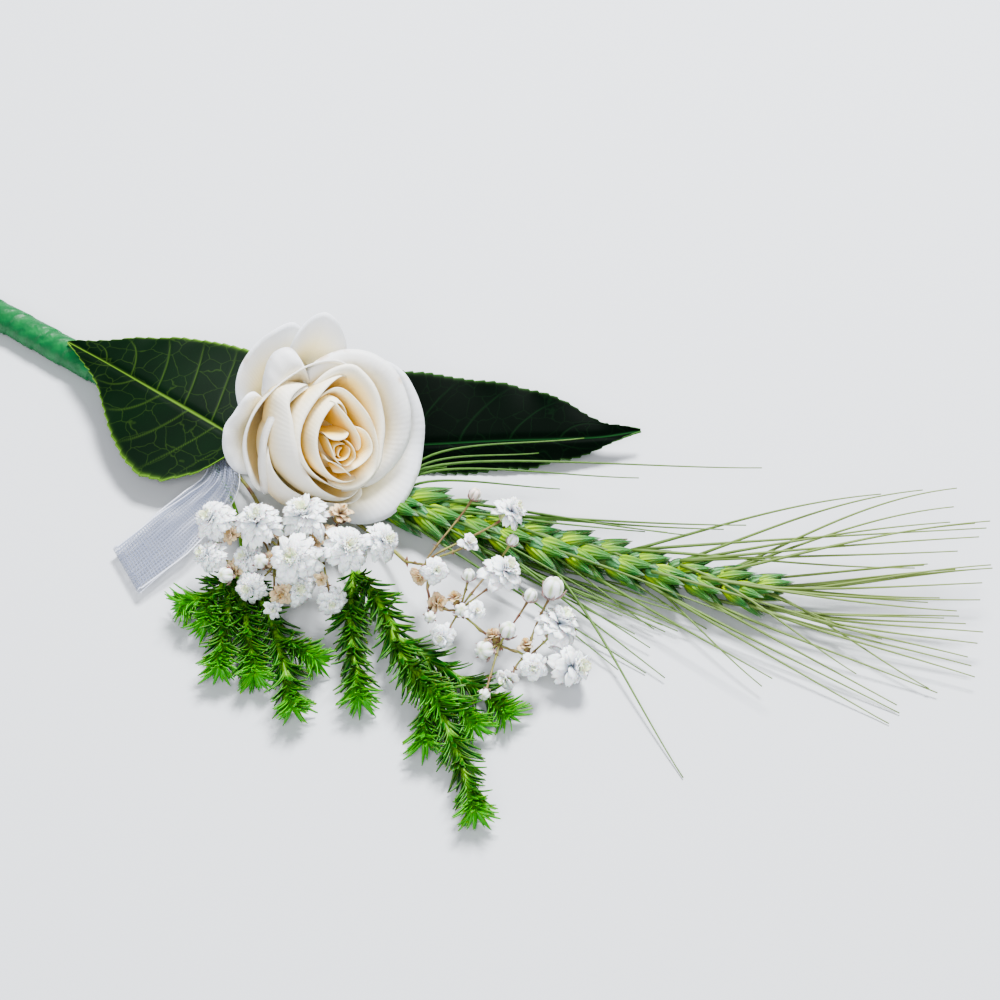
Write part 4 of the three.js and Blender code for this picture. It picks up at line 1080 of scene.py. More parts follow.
# %% Wheat: florets
def off_rachis(i, up, side, lean, sway):
    """The direction in which a floret or husk leaves the rachis: odd spikelets on the other side."""
    turn = math.radians(lean + (180 if i % 2 else 0) + sway)
    return math.cos(turn) * side + (-1 if i % 2 else 1) * math.sin(turn) * up


def floret_list():
    """For each floret of the plain solid, its foot, its direction and its share of full size."""
    ear_frames = frames_along(smooth_line(EAR, SPIKELETS))
    florets = []
    for i in range(SPIKELETS):
        point, along, up, side = ear_frames[i]
        grown = min(1, 0.72 + 0.12 * i) * (0.86 if i > SPIKELETS - 4 else 1)
        spread = (-40, 80, 200) if i >= SPIKELETS - 1 else (-60, 0, 60)
        for k, lean in enumerate(spread):
            outward = off_rachis(i, up, side, lean, 6 * (draw(3, i * 3 + k) - 0.5))
            tilt = math.radians(FLORET_TILT * (1.25 if k == 1 else 0.95))
            head = turned(tilt, along, outward)
            florets.append((point + 0.7 * outward, head, grown))
    return florets


florets = floret_list()


def husk_fans():
    """Fine husks: each spikelet is a fan of six florets, every one an outer husk over an inner.
    Two of the six have an outermost husk as well. The mark of each tells which it is."""
    ear_frames = frames_along(smooth_line(EAR, FANS))
    husks = []
    bloom_tree = tree_of(bloom)
    for i in range(FANS):
        point, along, up, side = ear_frames[i]
        full, wide, thick = (
            lerp(*sizes, i / (FANS - 1)) for sizes in (HUSK_LENGTH, HUSK_WIDE, HUSK_THICK))
        for k, lean in enumerate(FAN):
            number = i * len(FAN) + k
            outward = off_rachis(i, up, side, lean, 9 * (draw(3, number) - 0.5))
            stand_off = lerp(*FAN_TILT, math.cos(math.radians(lean)) ** 2)
            tilt = math.radians(stand_off + 6 * (draw(4, number) - 0.5))
            head = turned(tilt, along, outward)
            base = point + 0.6 * outward + (0.9 * (k % 3) - 0.6) * along
            length = full * lerp(0.86, 1.06, draw(6, number))
            if i < 2 and not is_free(base, base + length * head, [bloom_tree]):
                continue
            shut = (head - 0.03 * outward).normalized()
            shells = [
                (length * head, outward, wide, thick, 0),
                (0.94 * length * shut, -outward, 0.9 * wide, thick, INNER_HUSK),
            ]
            if k in (1, 4):
                opened = (head + 0.12 * outward).normalized()
                shells.append((0.6 * length * opened, outward, 1.15 * wide, 1.2 * thick, OUTERMOST_HUSK))
            husks += [
                (husk, stand(base, base + reach, facing, width, depth), draw(5, number), mark)
                for reach, facing, width, depth, mark in shells
            ]
    return husks


husks = husk_fans()
print(len(husks), "husks")
husk_piece = copies("husks", husks)

# %% [markdown]
# The awns are thin tapered tubes. Each listed tip takes the floret whose own direction suits it
# best, as in the CAD source, and finer awns are added half way between neighbouring tips. An awn
# above the ear leaves it steeply and levels out; one below runs on almost straight.

# %% Wheat: awns and stalk
AWN_LENGTH = 52
AWN_TIPS = [
    (18.4, 7.4, 12), (8.5, 4.8, 10), (-11.6, 1.6, 9), (30, -4.4, 12), (12.9, -7.6, 12), (56.4, -4.2, 15),
    (52.3, -18.9, 13), (39.3, -20.8, 12), (30.9, -19, 11), (81.2, -12.7, 16), (97.3, -11.9, 17),
    (95.3, -19.8, 15), (103.8, -19.5, 15), (101.4, -22.2, 13), (90.4, -27.2, 10), (87.9, -26.6, 8),
    (103.5, -28.3, 11), (101.7, -27.7, 9), (100.8, -35.4, 8), (81.4, -32.9, 6), (95.8, -37.6, 7),
    (93.3, -37.9, 5), (100.9, -42.5, 6), (97.4, -47.6, 4), (98.5, -52.1, 3), (81.9, -58.3, 1.5),
    (80, -62.3, 0.3), (34.7, -40, 3), (40.2, -39.2, 2), (25.7, -36.5, 4), (34.3, -50.9, 1.2),
    (24.6, -49, 1.5), (37.1, -76.1, 0.3),
]
AWN_STEPS = 22
AWN_RADII = [lerp(0.42, 0.13, (k / AWN_STEPS) ** 0.8) for k in range(AWN_STEPS + 1)]
EAR_SLOPE = -0.31                       # the ear's own direction, in y
LEVEL = Vector((1, 0.03, 0.04))         # awns above the ear level out towards this
CLOSE_AWNS = 24
BLOOM_EDGE = [                          # where the first awns come out from under the bloom
    (-16.4, 4.8, 8.4), (-16.6, 3.6, 7.6), (-17, 2.2, 7), (-17.5, 0.3, 8), (-17, -1.6, 7.4),
    (-17.6, 0.9, 8.8),
]


def awn_line(floret, tip):
    base, head, grown = floret
    start = base + 0.8 * FLORET_LENGTH * grown * head
    tip = Vector(tip)
    chord = tip - start
    ahead = chord.normalized()
    rising = min(1, max(0, 3 * (ahead.y - EAR_SLOPE)))
    finish = ahead.lerp(LEVEL, 0.8 * rising).normalized()
    lead = (0.6 * head + 2 * ahead - finish).normalized()
    leaving = start + 0.34 * chord.length * lead
    arriving = tip - 0.36 * chord.length * finish
    points = []
    for k in range(AWN_STEPS + 1):
        point = bezier(k / AWN_STEPS, start, leaving, arriving, tip)
        point.z = max(point.z, AWN_RADII[0] + 0.03)
        points.append(point)
    return points


def match_awns(tips):
    routes, taken = [], set()
    for tip in tips:
        costs = []
        for i, (base, head, _) in enumerate(florets):
            chord = Vector(tip) - base
            cost = abs(chord.length - AWN_LENGTH - 8) + 70 * chord.normalized().angle(head)
            costs.append(cost + (500 if i in taken else 0))
        best = costs.index(min(costs))
        taken.add(best)
        routes.append((awn_line(florets[best], tip), AWN_RADII))
    return routes


def hidden_awn(i, edge, tip):
    """An awn of the first spikelet: it leaves under the bloom, passes its edge and levels out."""
    base, head, _ = florets[i % 3]
    return smooth_line([base + head, edge, tip], AWN_STEPS), AWN_RADII


hidden = len(BLOOM_EDGE)
awn_routes = [
    hidden_awn(i, edge, tip) for i, (edge, tip) in enumerate(zip(BLOOM_EDGE, AWN_TIPS))
]
awn_routes += match_awns(AWN_TIPS[hidden:])
between = [
    (Vector(a) + Vector(b)) / 2 + Vector((2 * draw(9, i), 1.5 * draw(10, i), -1))
    for i, (a, b) in enumerate(zip(AWN_TIPS[hidden:], AWN_TIPS[hidden + 1:]))
    if (Vector(a) - Vector(b)).length < 26
]
awn_routes += match_awns([(p.x, p.y, max(p.z, 0.5)) for p in between])


def close_awn(i):
    """An awn that runs on close along the ear's near side, low down."""
    base, head, grown = florets[1 + int(draw(12, i) * (len(florets) - 8))]
    ahead = (Vector(EAR[5]) - Vector(EAR[2])).normalized()
    heading = Matrix.Rotation(-math.radians(lerp(2, 24, draw(13, i))), 3, "Z") @ ahead
    tip = base + lerp(44, 60, draw(14, i)) * heading
    tip.z = lerp(0.8, 7, draw(15, i))
    return awn_line((base - Vector((0, 1.2, 0)), head, grown), tip)


awn_routes += [(close_awn(i), AWN_RADII) for i in range(CLOSE_AWNS)]
awn_piece = tubes("awns", awn_routes)
stalk_line = stem_line(AT["wheat"], 0, [*STALK, EAR[0], EAR[1]])
stalk_piece = tubes("wheat_stalk", [(stalk_line, 0.5), (smooth_line(EAR, 40), 0.9)], 2)
print(len(awn_routes), "awns")

# %% [markdown]
# Young wheat husks are matt and ribbed, blue-green at the tip and yellow-green where the grain
# fills them, with papery pale edges. The mark of a copy tells the inner husks, which are painted
# darker as the shade in the gaps of the ear, from the outermost, which are bluish. The awns are
# green at the floret and paler at the tip.

# %% Wheat materials
RIBBED = 22            # seven ribs over a husk's width, about 1 mm apart

husk_look = new_material(
    "Green wheat husk, grown, ribbed", Roughness=0.5, IOR=1.42, Subsurface_Weight=0.15,
    Subsurface_Scale=0.001,
)
across_mark, along_mark, chance_mark, kind_mark = (
    add_node(husk_look, "Attribute", out="Fac", attribute_name=key)
    for key in ("across", "along", "chance", "mark"))
ribs = add_node(husk_look, "Math", {0: across_mark, 1: RIBBED}, operation="MULTIPLY")
rib_wave = add_node(husk_look, "Math", {0: ribs}, operation="COSINE")
filled = add_node(husk_look, "MapRange", {
    0: along_mark, 1: 0.2, 2: 0.78,
}, interpolation_type="SMOOTHSTEP")
to_edge = add_node(husk_look, "Math", {0: across_mark}, operation="ABSOLUTE")
husk_paint = paint(
    husk_look, "#b8da12",
    (filled, "#2f7a38"),
    (chance_mark, "#4a7f2a", 0, 1, 0.6),
    # Painted shade: the inner husks, which lie in the gaps between the others, are darkened
    (kind_mark, "#255a14", 0.1, 0.3, 0.55),
    (kind_mark, "#5f9a72", 0.5, 1, 0.7),
    (rib_wave, "#1f5a14", -1, 1, 0.66),
    (to_edge, "#dfe8b8", 0.84, 1, 0.4),
    (along_mark, "#b9d2c0", 0.86, 1, 0.5),
)
dress(husk_look, husk_paint, rib_wave, 0.5, 0.0002)

awn_look = new_material("Wheat awn, grown, drying at the tip", Roughness=0.5, IOR=1.42)
awn_place = add_node(awn_look, "TexCoord", out="Object")
awn_x = add_node(awn_look, "SeparateXYZ", {0: awn_place}, out="X")
awn_noise = add_node(awn_look, "TexNoise", {"Vector": awn_place, "Scale": 700})    # 1.4 mm
awn_paint = paint(awn_look, "#2c5218", (awn_noise, "#557a30"), (awn_x, "#7c8c4c", 0.02, 0.125, 1))
dress(awn_look, awn_paint)

for piece, look in ((husk_piece, husk_look), (awn_piece, awn_look), (stalk_piece, stem_look)):
    piece.data.materials.append(look)
ear = join_pieces("ear", [husk_piece, awn_piece, stalk_piece])
hand_in(ear, "wheat_ear", "wheat")

# %% [markdown]
# The greenery has slim yellow-green stems set all round with soft, flat, curved needles, crowded
# into bright tufts at the tips. One needle is modelled and copied: a narrow grid with a keel,
# bent so that its tip falls outwards, like a fountain's jet.

# %% Greenery: needle
NEEDLE_LENGTH = 6.2
NEEDLE_SPACING = 0.5
NEEDLES_ROUND = 4
WHORL = 5.2            # needles crowd together once in this length, and the stem is bare between
CROWDED = 0.72         # the share of that length which has needles
TUFT = 0.7 * NEEDLE_LENGTH
NEEDLE_TIP = Vector((0, 1, 0.36))
NEEDLE_HALF = (0.95, 1, 0.92, 0.74, 0.48, 0.03)


def needle_model():
    """A needle of length 1: it leaves outwards and bends towards +Z, with a keel below."""
    def place(across, along):
        half = value_at(NEEDLE_HALF, along) * across
        return Vector((half, along, NEEDLE_TIP.z * along ** 2 - 0.05 * (1 - along) * (1 - across ** 2)))

    return as_model(shaped_grid("needle", 2, 7, place, GRID_MARKS, thick=0.04))


needle = needle_model()
print("needle", len(needle["faces"]), "faces")

# %% Greenery: branchlets
SPRIG_A = [
    [(-65, 12.2, 4), (-62, 5.9, 2.9), (-57.5, -6, 2.7), (-55.8, -16, 3), (-55.5, -24, 4)],
    [(-55.5, -23, 4), (-60.5, -32, 5), (-61.9, -42.4, 4.6)],
    [(-60.5, -31, 5), (-66, -34, 5.2), (-70.2, -36, 5)],
    [(-55.5, -24, 4), (-57.6, -38, 4.8), (-58.3, -54.4, 4.4)],
    [(-55.5, -24, 4), (-53, -40, 4.6), (-50, -56.4, 4.4)],
    [(-55.5, -23, 4), (-48.6, -36, 3.6), (-45, -50, 4.6), (-41.7, -64.4, 4)],
    [(-47, -42, 4), (-41, -47, 5), (-35.6, -51.4, 4.6)],
]
SPRIG_B = [
    [(-62.6, 15.7, 2.5), (-58.4, 11.2, 2.1), (-48, 2.5, 2.1), (-38.5, -10, 2.6), (-31, -24, 5)],
    [(-31, -23, 5), (-31.4, -40, 5.4), (-28.3, -62.4, 4.4)],
    [
        (-31, -24, 5), (-24, -38, 6.6), (-20.2, -50.6, 7), (-12.4, -64.1, 6), (-8.1, -75, 4.8),
        (-4, -90.6, 4),
    ],
    [(-20.8, -49, 7), (-15, -58, 8), (-10.4, -65.8, 8)],
    [(-19, -53, 6.6), (-9, -61, 5.2), (-3.4, -68.6, 4.8)],
    [(-22.4, -44, 6.8), (-8, -52, 1.9), (4.2, -65, 3.6)],
    [(-15, -60, 6.4), (-15.4, -67, 4.8), (-14.6, -73.8, 4)],
]
CORE = (0.7, 0.5)      # radius of a branchlet's stem, at its foot and at its tip
THIN_STEM = 0.45       # radius of a sprig's or spray's main stem
GOLDEN_TURN = math.radians(137.5)
TUFT_NEEDLES = 3       # more of them round the stem in a tuft
LOWEST = 0.7           # height of the lowest needle tip over the table


other_solids = [
    tree_of(node) for name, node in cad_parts.items()
    if not name.startswith(("greenery", "gypsophila_stems", "stem_tape", "rose_stem"))
]


def branchlet(points, seed):
    """Needles round one branchlet, and the route of its core."""
    length = (Vector(points[-1]) - Vector(points[0])).length
    steps = round(length / NEEDLE_SPACING)
    count = round((length - TUFT) / NEEDLE_SPACING)
    frames = frames_along(smooth_line(points, steps))[:count + 1]
    needles = []
    for i in range(round(2 / NEEDLE_SPACING), count + 1):
        point, along, up, side = frames[i]
        to_tip = (count - i) * NEEDLE_SPACING
        near_tip = max(0, 1 - to_tip / 7)
        if near_tip == 0 and (to_tip / WHORL) % 1 > CROWDED:
            continue
        for k in range(NEEDLES_ROUND + (TUFT_NEEDLES if near_tip > 0.5 else 0)):
            number = 7 * i + k
            turn = GOLDEN_TURN * number + 0.5 * draw(seed + 50, number)
            out = turned(turn, up, side)
            if near_tip == 0 and out.z > 0.6 and draw(seed + 20, number) < 0.3:
                continue
            sway = 0.9 * (draw(seed, number) - 0.5)
            chance = draw(seed + 9, number)
            rise = lerp(lerp(0.46, 0.1, chance), lerp(0.75, 0.08, chance), near_tip)
            head = (along + rise * out + sway * along.cross(out)).normalized()
            size = NEEDLE_LENGTH * (0.68 + 0.5 * draw(seed, number + 400)) * lerp(1, 0.78, near_tip)
            foot = point + 0.35 * out
            end = foot + size * head
            end.z = max(end.z, LOWEST)
            facing = 0.2 * out - along
            facing.z = max(facing.z, 0)
            if not is_free(foot, end, other_solids):
                continue
            matrix = stand(foot, end, facing, lerp(0.42, 0.66, draw(seed + 1, number)), size, size)
            if (matrix @ NEEDLE_TIP).z < 0.1:
                continue
            needles.append((needle, matrix, draw(seed + 3, number), near_tip))
    core = [point for point, _, _, _ in frames]
    return needles, (core, [lerp(*CORE, i / count) for i in range(len(core))])


def make_sprig(name, angle, branches, seed):
    main, *rest = branches
    needles, routes = [], []
    for b, points in enumerate(rest):
        placed, core = branchlet(points, seed + b)
        needles += placed
        routes.append(core)
    main_line = stem_line(angle, 7, main)
    routes.append((main_line, THIN_STEM))
    return copies(name + "_needles", needles), tubes(name + "_stems", routes, 2)


# %% [markdown]
# Needles are soft young leaves: vivid green, darker with age, with paler edges, and yellow-green
# at their foot and in the tufts. The mark of a copy says how near the tuft it is.

# %% Greenery materials
needle_look = new_material(
    "Soft needle leaf, grown", Roughness=0.42, IOR=1.42, Subsurface_Weight=0.2, Subsurface_Scale=0.001,
)
across_mark, along_mark, chance_mark, tuft_mark = (
    add_node(needle_look, "Attribute", out="Fac", attribute_name=key)
    for key in ("across", "along", "chance", "mark"))
to_edge = add_node(needle_look, "Math", {0: across_mark}, operation="ABSOLUTE")
needle_grain = add_node(needle_look, "TexNoise", {
    "Vector": add_node(needle_look, "TexCoord", out="Object"), "Scale": 1500,
})    # 0.7 mm
needle_paint = paint(
    needle_look, "#053506",
    (chance_mark, "#12600c"),
    (tuft_mark, "#38990f"),
    (along_mark, "#86c530", 0.35, 0, 0.55),
    (to_edge, "#6fb53a", 0.6, 1, 0.25),
)
dress(needle_look, needle_paint, needle_grain, 0.3, 0.0001)
core_look = speckled("Young greenery stem, grown", 0.45, 260, 3, "#3f7a0e", "#74a81e")

for name, node, angle, branches, seed in (
    ("sprig_left", "greenery_left", AT["spriga"], SPRIG_A, 11),
    ("sprig_right", "greenery_right", AT["sprigb"], SPRIG_B, 31),
):
    needle_piece, core_piece = make_sprig(name, angle, branches, seed)
    needle_piece.data.materials.append(needle_look)
    core_piece.data.materials.append(core_look)
    sprig = join_pieces(name, [needle_piece, core_piece])
    hand_in(sprig, node, "needle_greenery")

# %% [markdown]
# Gypsophila heads are small double flowers, 5 to 10 mm across: dozens of petals over a small green
# cup, each leaving the middle upright and bending outwards, so that their broad, notched tips
# cover the head. Half-open ones show fewer, and buds are closed balls held by five pinkish sepals.
# Two petals, a bud and a sepal are modelled and copied. Petals follow the golden angle, from
# the outer ring, which lies flat, to the middle, which stands up.


# %% Gypsophila: petal, bud and sepal
GYP_HALF = (0.25, 0.5, 0.85, 1, 0.72)
GYP_BENDS = (math.radians(74), math.radians(30))   # from foot to tip: an outer and an inner petal
GYP_RUFFLES = (0.05, 0.11)
SEPAL_WIDTHS = (0.7, 1, 0.8, 0.5, 0.06)


def bent_strip(name, halves, bend, rows, columns, ruffle, thickness):
    """A strip of length 1 that bends backwards, away from +Z, by the angle bend."""
    def place(across, along):
        half = value_at(halves, along) * across
        notch = 0.07 * max(0, 1 - 2.5 * abs(across)) * max(0, along - 0.7) / 0.3
        reach = along - notch - 0.16 * along * across ** 2
        wave = ruffle * along ** 2 * math.sin(6 * across + 0.6)
        return Vector((half, math.sin(bend * reach) / bend, (math.cos(bend * reach) - 1) / bend + wave))

    return as_model(shaped_grid(name, columns, rows, place, GRID_MARKS, thickness))


def bud_model():
    """A ball of radius 1 with furrows between five folded petals; across is over 1 in them."""
    deselect()
    bpy.ops.mesh.primitive_uv_sphere_add(segments=20, ring_count=9, radius=MM, location=(0, 0, 0))
    piece = bpy.context.object
    shade = piece.data.attributes.new("across", "FLOAT", "POINT")
    for i, point in enumerate(piece.data.vertices):
        x, y, z = point.co / MM
        turn = math.atan2(y, x)
        cut = (1 - abs(math.cos(2.5 * turn))) ** 2 * (1 - z * z) + 0.9 * max(0, z) ** 10
        point.co = to_scene((1 - 0.24 * cut) * Vector((x, y, 1.06 * z)))
        shade.data[i].value = 1 + cut
    tone = piece.data.attributes.new("along", "FLOAT", "POINT")
    tone.data.foreach_set("value", [0.6] * len(piece.data.vertices))
    return as_model(piece)


outer_petal, inner_petal = (
    bent_strip("gyp_petal", GYP_HALF, bend, 4, 4, ruffle, 0.03)
    for bend, ruffle in zip(GYP_BENDS, GYP_RUFFLES))
sepal_strip = bent_strip("sepal_strip", SEPAL_WIDTHS, math.radians(100), 5, 2, 0, 0.05)
bud = bud_model()
print("petal", len(outer_petal["faces"]), "bud", len(bud["faces"]), "faces")

# %% Gypsophila: where the heads and forks are
# A head is its middle, its radius, its kind (0 a bud, 1 half open, 2 full) and 1 if it has dried.
# Stalks fork at the hubs. BENT_ASIDE bends the stalk of a head that would run through others.
HEADS_A = [
    (-60.8, -20.7, 17, 4.1, 2), (-61.8, -26.5, 12, 3.3, 2), (-51, -23.5, 19.5, 4.6, 2),
    (-41.2, -21.8, 19.5, 4.9, 2), (-33.6, -19.6, 17.5, 2.7, 1, 1), (-31.8, -30.3, 19, 4.6, 2),
    (-24.4, -27.7, 18, 3.7, 2), (-53.4, -27.3, 12.2, 3.2, 2), (-52.6, -33.4, 9.6, 3.2, 2),
    (-42.9, -33.7, 19.5, 4.9, 2), (-42.4, -34.5, 10.8, 3.8, 2), (-57.6, -32, 12, 1.8, 0),
    (-49.9, -32.4, 17, 1.7, 0), (-37.6, -28.6, 14.6, 1.7, 0), (-42.2, -24.6, 12.6, 2.2, 1, 1),
    (-50.6, -17.6, 14.6, 1.7, 0, 1), (-35.2, -37.2, 9.4, 2.9, 2), (-47.4, -38.2, 8.6, 2.1, 1),
]
HUBS_A = [(-50, -17, 5.6), (-44.5, -20, 6.5), (-48, -25, 6), (-38, -23.5, 8)]
ROUTE_A = [(-63.7, 14.1, 3.1), (-60.1, 8.5, 2.6), (-54.5, 0, 2.5), (-51, -9, 3)]
HEADS_B = [
    (-5.3, -15.4, 19, 1.4, 0, 1), (2.5, -21.1, 20, 3.4, 2), (2.7, -24.8, 15, 1.3, 0),
    (-6.5, -28.3, 18, 2.2, 1), (-13.4, -33.2, 15, 2.7, 2), (-6.5, -33.3, 13.6, 1.4, 0),
    (1, -34.3, 16, 4, 2), (6.4, -37, 11.4, 1.5, 0), (-8.1, -39.4, 9.5, 1.6, 0),
    (-5, -42.3, 12.5, 2.3, 1), (1.6, -44.7, 9.4, 1.9, 0), (11, -38.3, 15.4, 2.4, 0),
    (12.3, -43.4, 10, 4.4, 2), (15.3, -51.7, 6, 4.4, 2), (7, -53.8, 8.4, 2.7, 2),
    (1.4, -53.6, 4.2, 2.5, 1), (-3.3, -49.4, 8.5, 2.1, 0), (-12, -46.2, 9, 2.6, 2),
    (-14.6, -40.5, 8.5, 1.4, 0), (-3.2, -59.2, 6.2, 1.3, 0),
]
HUBS_B = [
    (-20, -24, 7), (-15.8, -27.5, 10), (-14.7, -36, 7), (-8.4, -37.6, 6.4), (0, -45.9, 5.6),
    (6.2, -48.3, 4.6),
]
ROUTE_B = [(-61.6, 17.2, 2.3), (-56.8, 13.5, 2), (-45, 5.5, 1.9), (-32, -8, 2.4), (-24, -17, 4)]
BENT_ASIDE = {"a08": 1, "a15": 3, "b10": 13, "b11": 1, "b12": 14, "b13": 1, "b14": 6, "b16": 14, "b17": 4}
FINE_STEM = 0.2
STALK_STEPS = 14
KNOTS = (5, 10)        # steps at which a stalk has a knot
HEAD_FOOT = (0.9, 0.85, 0.8)    # how far the stalk's end lies below the middle of each kind, in radii


# %% Gypsophila: heads
PETAL_COUNTS = {"a": (0, 24, 84), "b": (0, 14, 38)}     # of a bud, a half-open and a full head
PETAL_HALF = {"a": (0.3, 0.32, 0.25), "b": (0.3, 0.48, 0.36)}
FLATTEST = (42, 50, 84)         # tilt of the outermost petals from the head's axis, in degrees
FULLNESS = 1.16                 # petals reach this much past the plain solid, among their neighbours
SEPAL_MARK = 1                  # marks for the material
SCALE_MARK = 0.9
CUP_MARK = 0.8
EYE_MARK = 0.5


def make_head(centre, axis, radius, kind, letter, seed):
    """The copies that make one head: petals or a bud, with a cup and sepals under it."""
    side = axis.orthogonal().normalized()
    other = axis.cross(side)
    count = PETAL_COUNTS[letter][kind]
    wide = PETAL_HALF[letter][kind] * radius
    placed = []
    for i in range(count):
        level = i / (count - 1)
        tilt = math.radians(lerp(FLATTEST[kind], 5, level ** 0.75) + 16 * (draw(seed, i) - 0.5))
        turn = GOLDEN_TURN * i + 0.5 * draw(seed, i + 90)
        out = turned(turn, side, other)
        head = turned(tilt, axis, out)
        base = centre + radius * (lerp(0.12, 0.02, level) * out + lerp(-0.4, 0.26, level) * axis)
        size = FULLNESS * radius * lerp(1.02, 0.54, level) * (0.86 + 0.28 * draw(seed, i + 200))
        facing = axis + 0.6 * (draw(seed, i + 500) - 0.5) * out.cross(axis)
        half = wide * lerp(1, 0.74, level) * (0.8 + 0.4 * draw(seed, i + 300))
        matrix = stand(base, base + head, facing, half, size, size)
        model = inner_petal if level > 0.62 else outer_petal
        placed.append((model, matrix, draw(seed, i + 700), EYE_MARK * (level > 0.9)))
    upright = axis.to_track_quat("Z", "Y").to_matrix().to_4x4()
    if kind == 0:
        size = Matrix.Diagonal((0.95 * radius, 0.95 * radius, radius, 1))
        placed.append((bud, Matrix.Translation(centre) @ upright @ size, draw(seed, 1), 0))
    cup = 0.42 * radius if kind else 0.55 * radius
    low = centre - (0.62 if kind else 0.5) * radius * axis
    size = Matrix.Diagonal((cup, cup, cup, 1))
    placed.append((bud, Matrix.Translation(low) @ upright @ size, 0.5, CUP_MARK))
    for k in range(5):
        turn = 2 * math.pi * (k + 0.4 * draw(seed, k + 900)) / 5
        out = turned(turn, side, other)
        base = centre - (1.04 if kind == 0 else 0.85) * radius * axis
        head = (out - 0.1 * axis).normalized()
        size = radius * (1.9 if kind == 0 else 0.95)
        matrix = stand(base, base + head, -axis, 0.26 * radius, size, size)
        placed.append((sepal_strip, matrix, draw(seed, k), SEPAL_MARK))
    return placed


def head_axis(centre, hub):
    return ((centre - hub).normalized() + Vector((0, -0.25, 0.55))).normalized()


def stalk_route(centre, axis, radius, kind, hub, bend):
    """The stalk's curve from a fork up to its head, bent aside to pass its neighbours."""
    seat = centre - (HEAD_FOOT[kind] * radius + 0.3) * axis
    reach = (seat - hub).length
    turn = 2.4 * bend
    aside = 0.12 * bend * Vector((math.cos(turn), math.sin(turn), 0.4 * math.sin(2 * turn)))
    start = hub + Vector((0, 0, 0.2 * reach)) + aside
    finish = seat - 0.35 * reach * axis + aside
    start.z, finish.z = max(start.z, 0.8), max(finish.z, 0.8)
    steps = STALK_STEPS
    points = [bezier(k / steps, hub, start, finish, seat) for k in range(steps + 1)]
    radii = [FINE_STEM * (1.25 - 0.35 * k / steps) + 0.2 * (k / steps) ** 8 for k in range(steps + 1)]
    for knot in KNOTS:
        radii[knot] *= 1.5
    return points, radii


def twiggy(a, b, seed):
    """The route between two forks: a little crooked, with thicker knots at its ends and half way."""
    steps = 8
    points = []
    for k in range(steps + 1):
        sway = math.sin(math.pi * k / steps)
        aside = Vector((draw(seed, k) - 0.5, draw(seed, k + 20) - 0.5, draw(seed, k + 40) - 0.3))
        points.append(a.lerp(b, k / steps) + 0.5 * sway * aside)
    return points, [(FINE_STEM + 0.08) * (1.5 if k in (0, 4, 8) else 1) for k in range(steps + 1)]


def bracts(spot, along, size, seed):
    """Three small pointed scales round a knot of the stalk."""
    side = along.orthogonal().normalized()
    other = along.cross(side)
    placed = []
    for k in range(3):
        turn = 2 * math.pi * (k + draw(seed, k)) / 3
        out = turned(turn, side, other)
        head = (along + 0.8 * out).normalized()
        matrix = stand(spot, spot + head, along, 0.22 * size, size, size)
        placed.append((sepal_strip, matrix, draw(seed, k + 5), SCALE_MARK))
    return placed


# %% [markdown]
# Gypsophila petals are thin and pure white, with a painted cool shade towards their feet, where
# they overlap. Dried heads turn tan. The cup below is pale green, the sepals pinkish grey. A bud's
# furrows take the cup's green: partly the green between its petals, partly painted shade in the
# slits. The wiry stalks are brown, and olive green in places.

# %% Gypsophila materials
CREASED = 9            # three creases over a petal's width, about 0.7 mm apart


def gyp_material(name, white, shade, eye, cup, sepal):
    look = new_material(
        name, Roughness=0.6, IOR=1.4, Subsurface_Weight=0.2, Subsurface_Scale=0.0006, Sheen_Weight=0.1)
    across, along, kind = (
        add_node(look, "Attribute", out="Fac", attribute_name=key)
        for key in ("across", "along", "mark"))
    fold = add_node(look, "Math", {0: across, 1: CREASED}, operation="MULTIPLY")
    crease = add_node(look, "Math", {0: fold}, operation="SINE")
    colour = paint(
        look, white,
        (along, shade, 0.7, 0.1, 1),
        (kind, eye, 0.3, 0.5, 1),
        (kind, cup, 0.6, 0.8, 1),
        (kind, sepal, 0.88, 0.9, 1),
        # A bud's furrows and the dimple on its top take the cup's green: partly its own colour, partly
        # painted shade in the slits
        (across, cup, 1.15, 1.8, 0.8),
    )
    return dress(look, colour, crease, 0.25, 0.00008)


white_look = gyp_material(
    "Gypsophila petal, fresh", "#fafbfd", "#aeb8c4", "#edf1d2", "#a9bf7c", "#9c8380")
dried_look = gyp_material(
    "Gypsophila petal, dried", "#dcc4a0", "#93704c", "#c9ab78", "#9a8a58", "#7d5f4c")
drying_look = gyp_material(
    "Gypsophila bud, drying", "#efe4e0", "#c9b4ac", "#e2cfc0", "#9c8f72", "#8a6c62")
wiry_look = speckled("Gypsophila stalk, wiry, drying", 0.6, 190, 3, "#6d4a3c", "#8f9152", 0.4, 0.6)

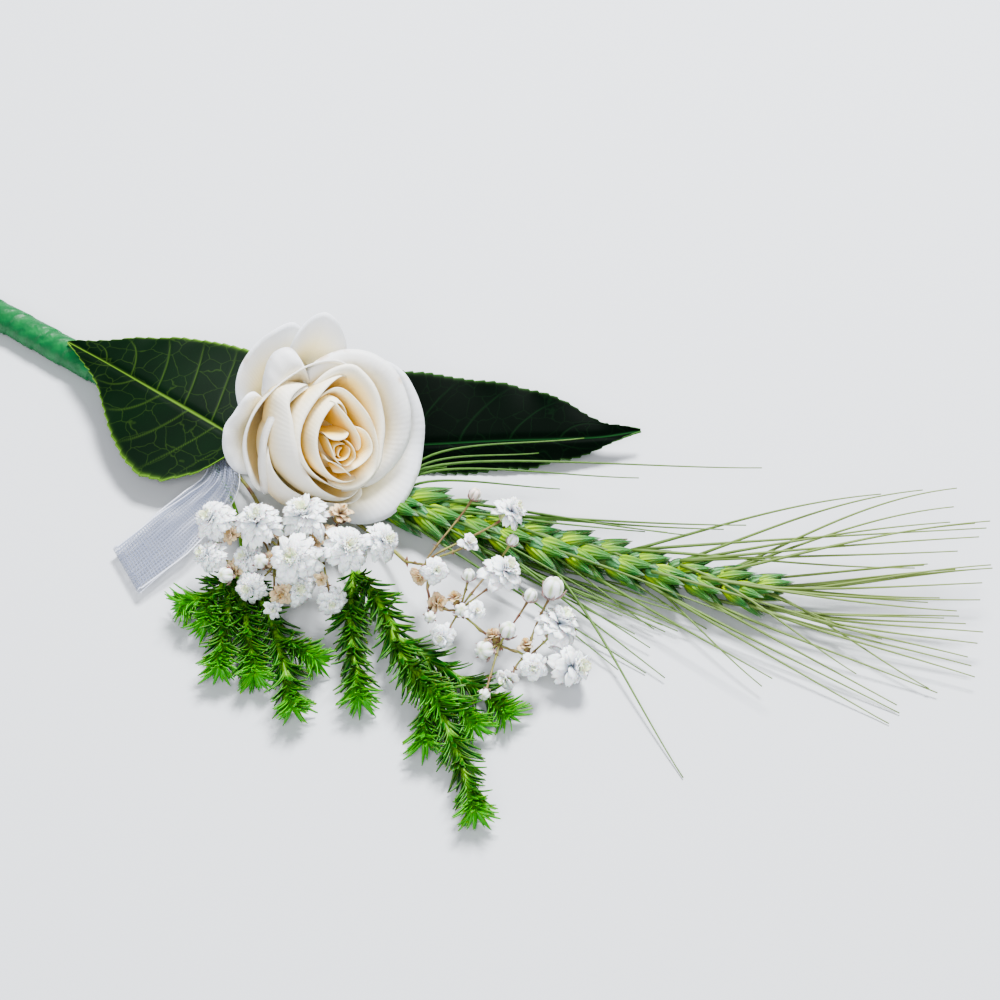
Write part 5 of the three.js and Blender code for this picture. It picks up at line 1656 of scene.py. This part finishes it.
# %% Gypsophila: both sprays
REMNANT_SIZE = (1.5, 2.4)    # radius of the small dried heads between the fresh ones
REMNANTS_A = [
    (-46.5, -23.5, 15.5), (-43.5, -27.8, 15.2), (-39, -25.6, 15.5), (-47.8, -28.8, 13.4),
    (-35.8, -23.2, 15.6), (-57, -22.4, 14.2), (-45.8, -36.6, 11.4), (-37.4, -33.6, 12.6),
    (-50.8, -14.6, 12.4), (-56.4, -28.6, 9.6),
]
REMNANTS_B = [
    (-9.4, -35.2, 8.4), (-13.2, -36.6, 8.2), (-1.4, -44.2, 6.8), (5.4, -46.2, 6.4), (-16.8, -30.4, 10),
]


def make_spray(letter, heads, hubs, angle, route, remnants, seed):
    hubs = [Vector(p) for p in hubs]
    main = stem_line(angle, 8, [*route, hubs[0]])
    routes = [(main, THIN_STEM)]
    routes += [twiggy(a, b, seed + k) for k, (a, b) in enumerate(zip(hubs, hubs[1:]))]
    scales = []
    for i, (x, y, z, radius, kind, *dried) in enumerate(heads):
        label = f"{letter}{i + 1:02d}"
        centre = Vector((x, y, z))
        hub = min(hubs, key=lambda p, centre=centre: (p - centre).length)
        axis = head_axis(centre, hub)
        stalk = stalk_route(centre, axis, radius, kind, hub, BENT_ASIDE.get(label, 0))
        routes.append(stalk)
        for knot in KNOTS:
            spot, ahead = stalk[0][knot], stalk[0][knot + 1]
            scales += bracts(spot, (ahead - spot).normalized(), 1.1, seed + i + knot)
        head = copies("gyp_" + label, make_head(centre, axis, radius, kind, letter, seed + i))
        node = f"gypsophila_{'head' if kind else 'bud'}_{label}"
        look = (dried_look if kind else drying_look) if dried else white_look
        hand_in(head, node, "dried_flower" if dried else "white_flower", look)
    for i, spot in enumerate(Vector(p) for p in remnants):
        hub = min(hubs, key=lambda p, spot=spot: (p - spot).length)
        axis = head_axis(spot, hub)
        size = lerp(*REMNANT_SIZE, draw(seed + 5, i))
        routes.append(stalk_route(spot, axis, size, 1, hub, 0))
        scales += make_head(spot, axis, size, 1, letter, seed + 40 + i)
    for k, hub in enumerate(hubs):
        scales += bracts(hub, Vector((0.3, -0.4, 0.8)).normalized(), 1.6, seed + 70 + k)
    withered = copies("withered", scales)
    withered.data.materials.append(dried_look)
    wires = tubes(f"wires_{letter}", routes)
    wires.data.materials.append(wiry_look)
    hand_in(join_pieces(f"gyp_stems_{letter}", [wires, withered]), f"gypsophila_stems_{letter}", "dry_stem")


make_spray("a", HEADS_A, HUBS_A, AT["gypa"], ROUTE_A, REMNANTS_A, 60)
make_spray("b", HEADS_B, HUBS_B, AT["gypb"], ROUTE_B, REMNANTS_B, 90)
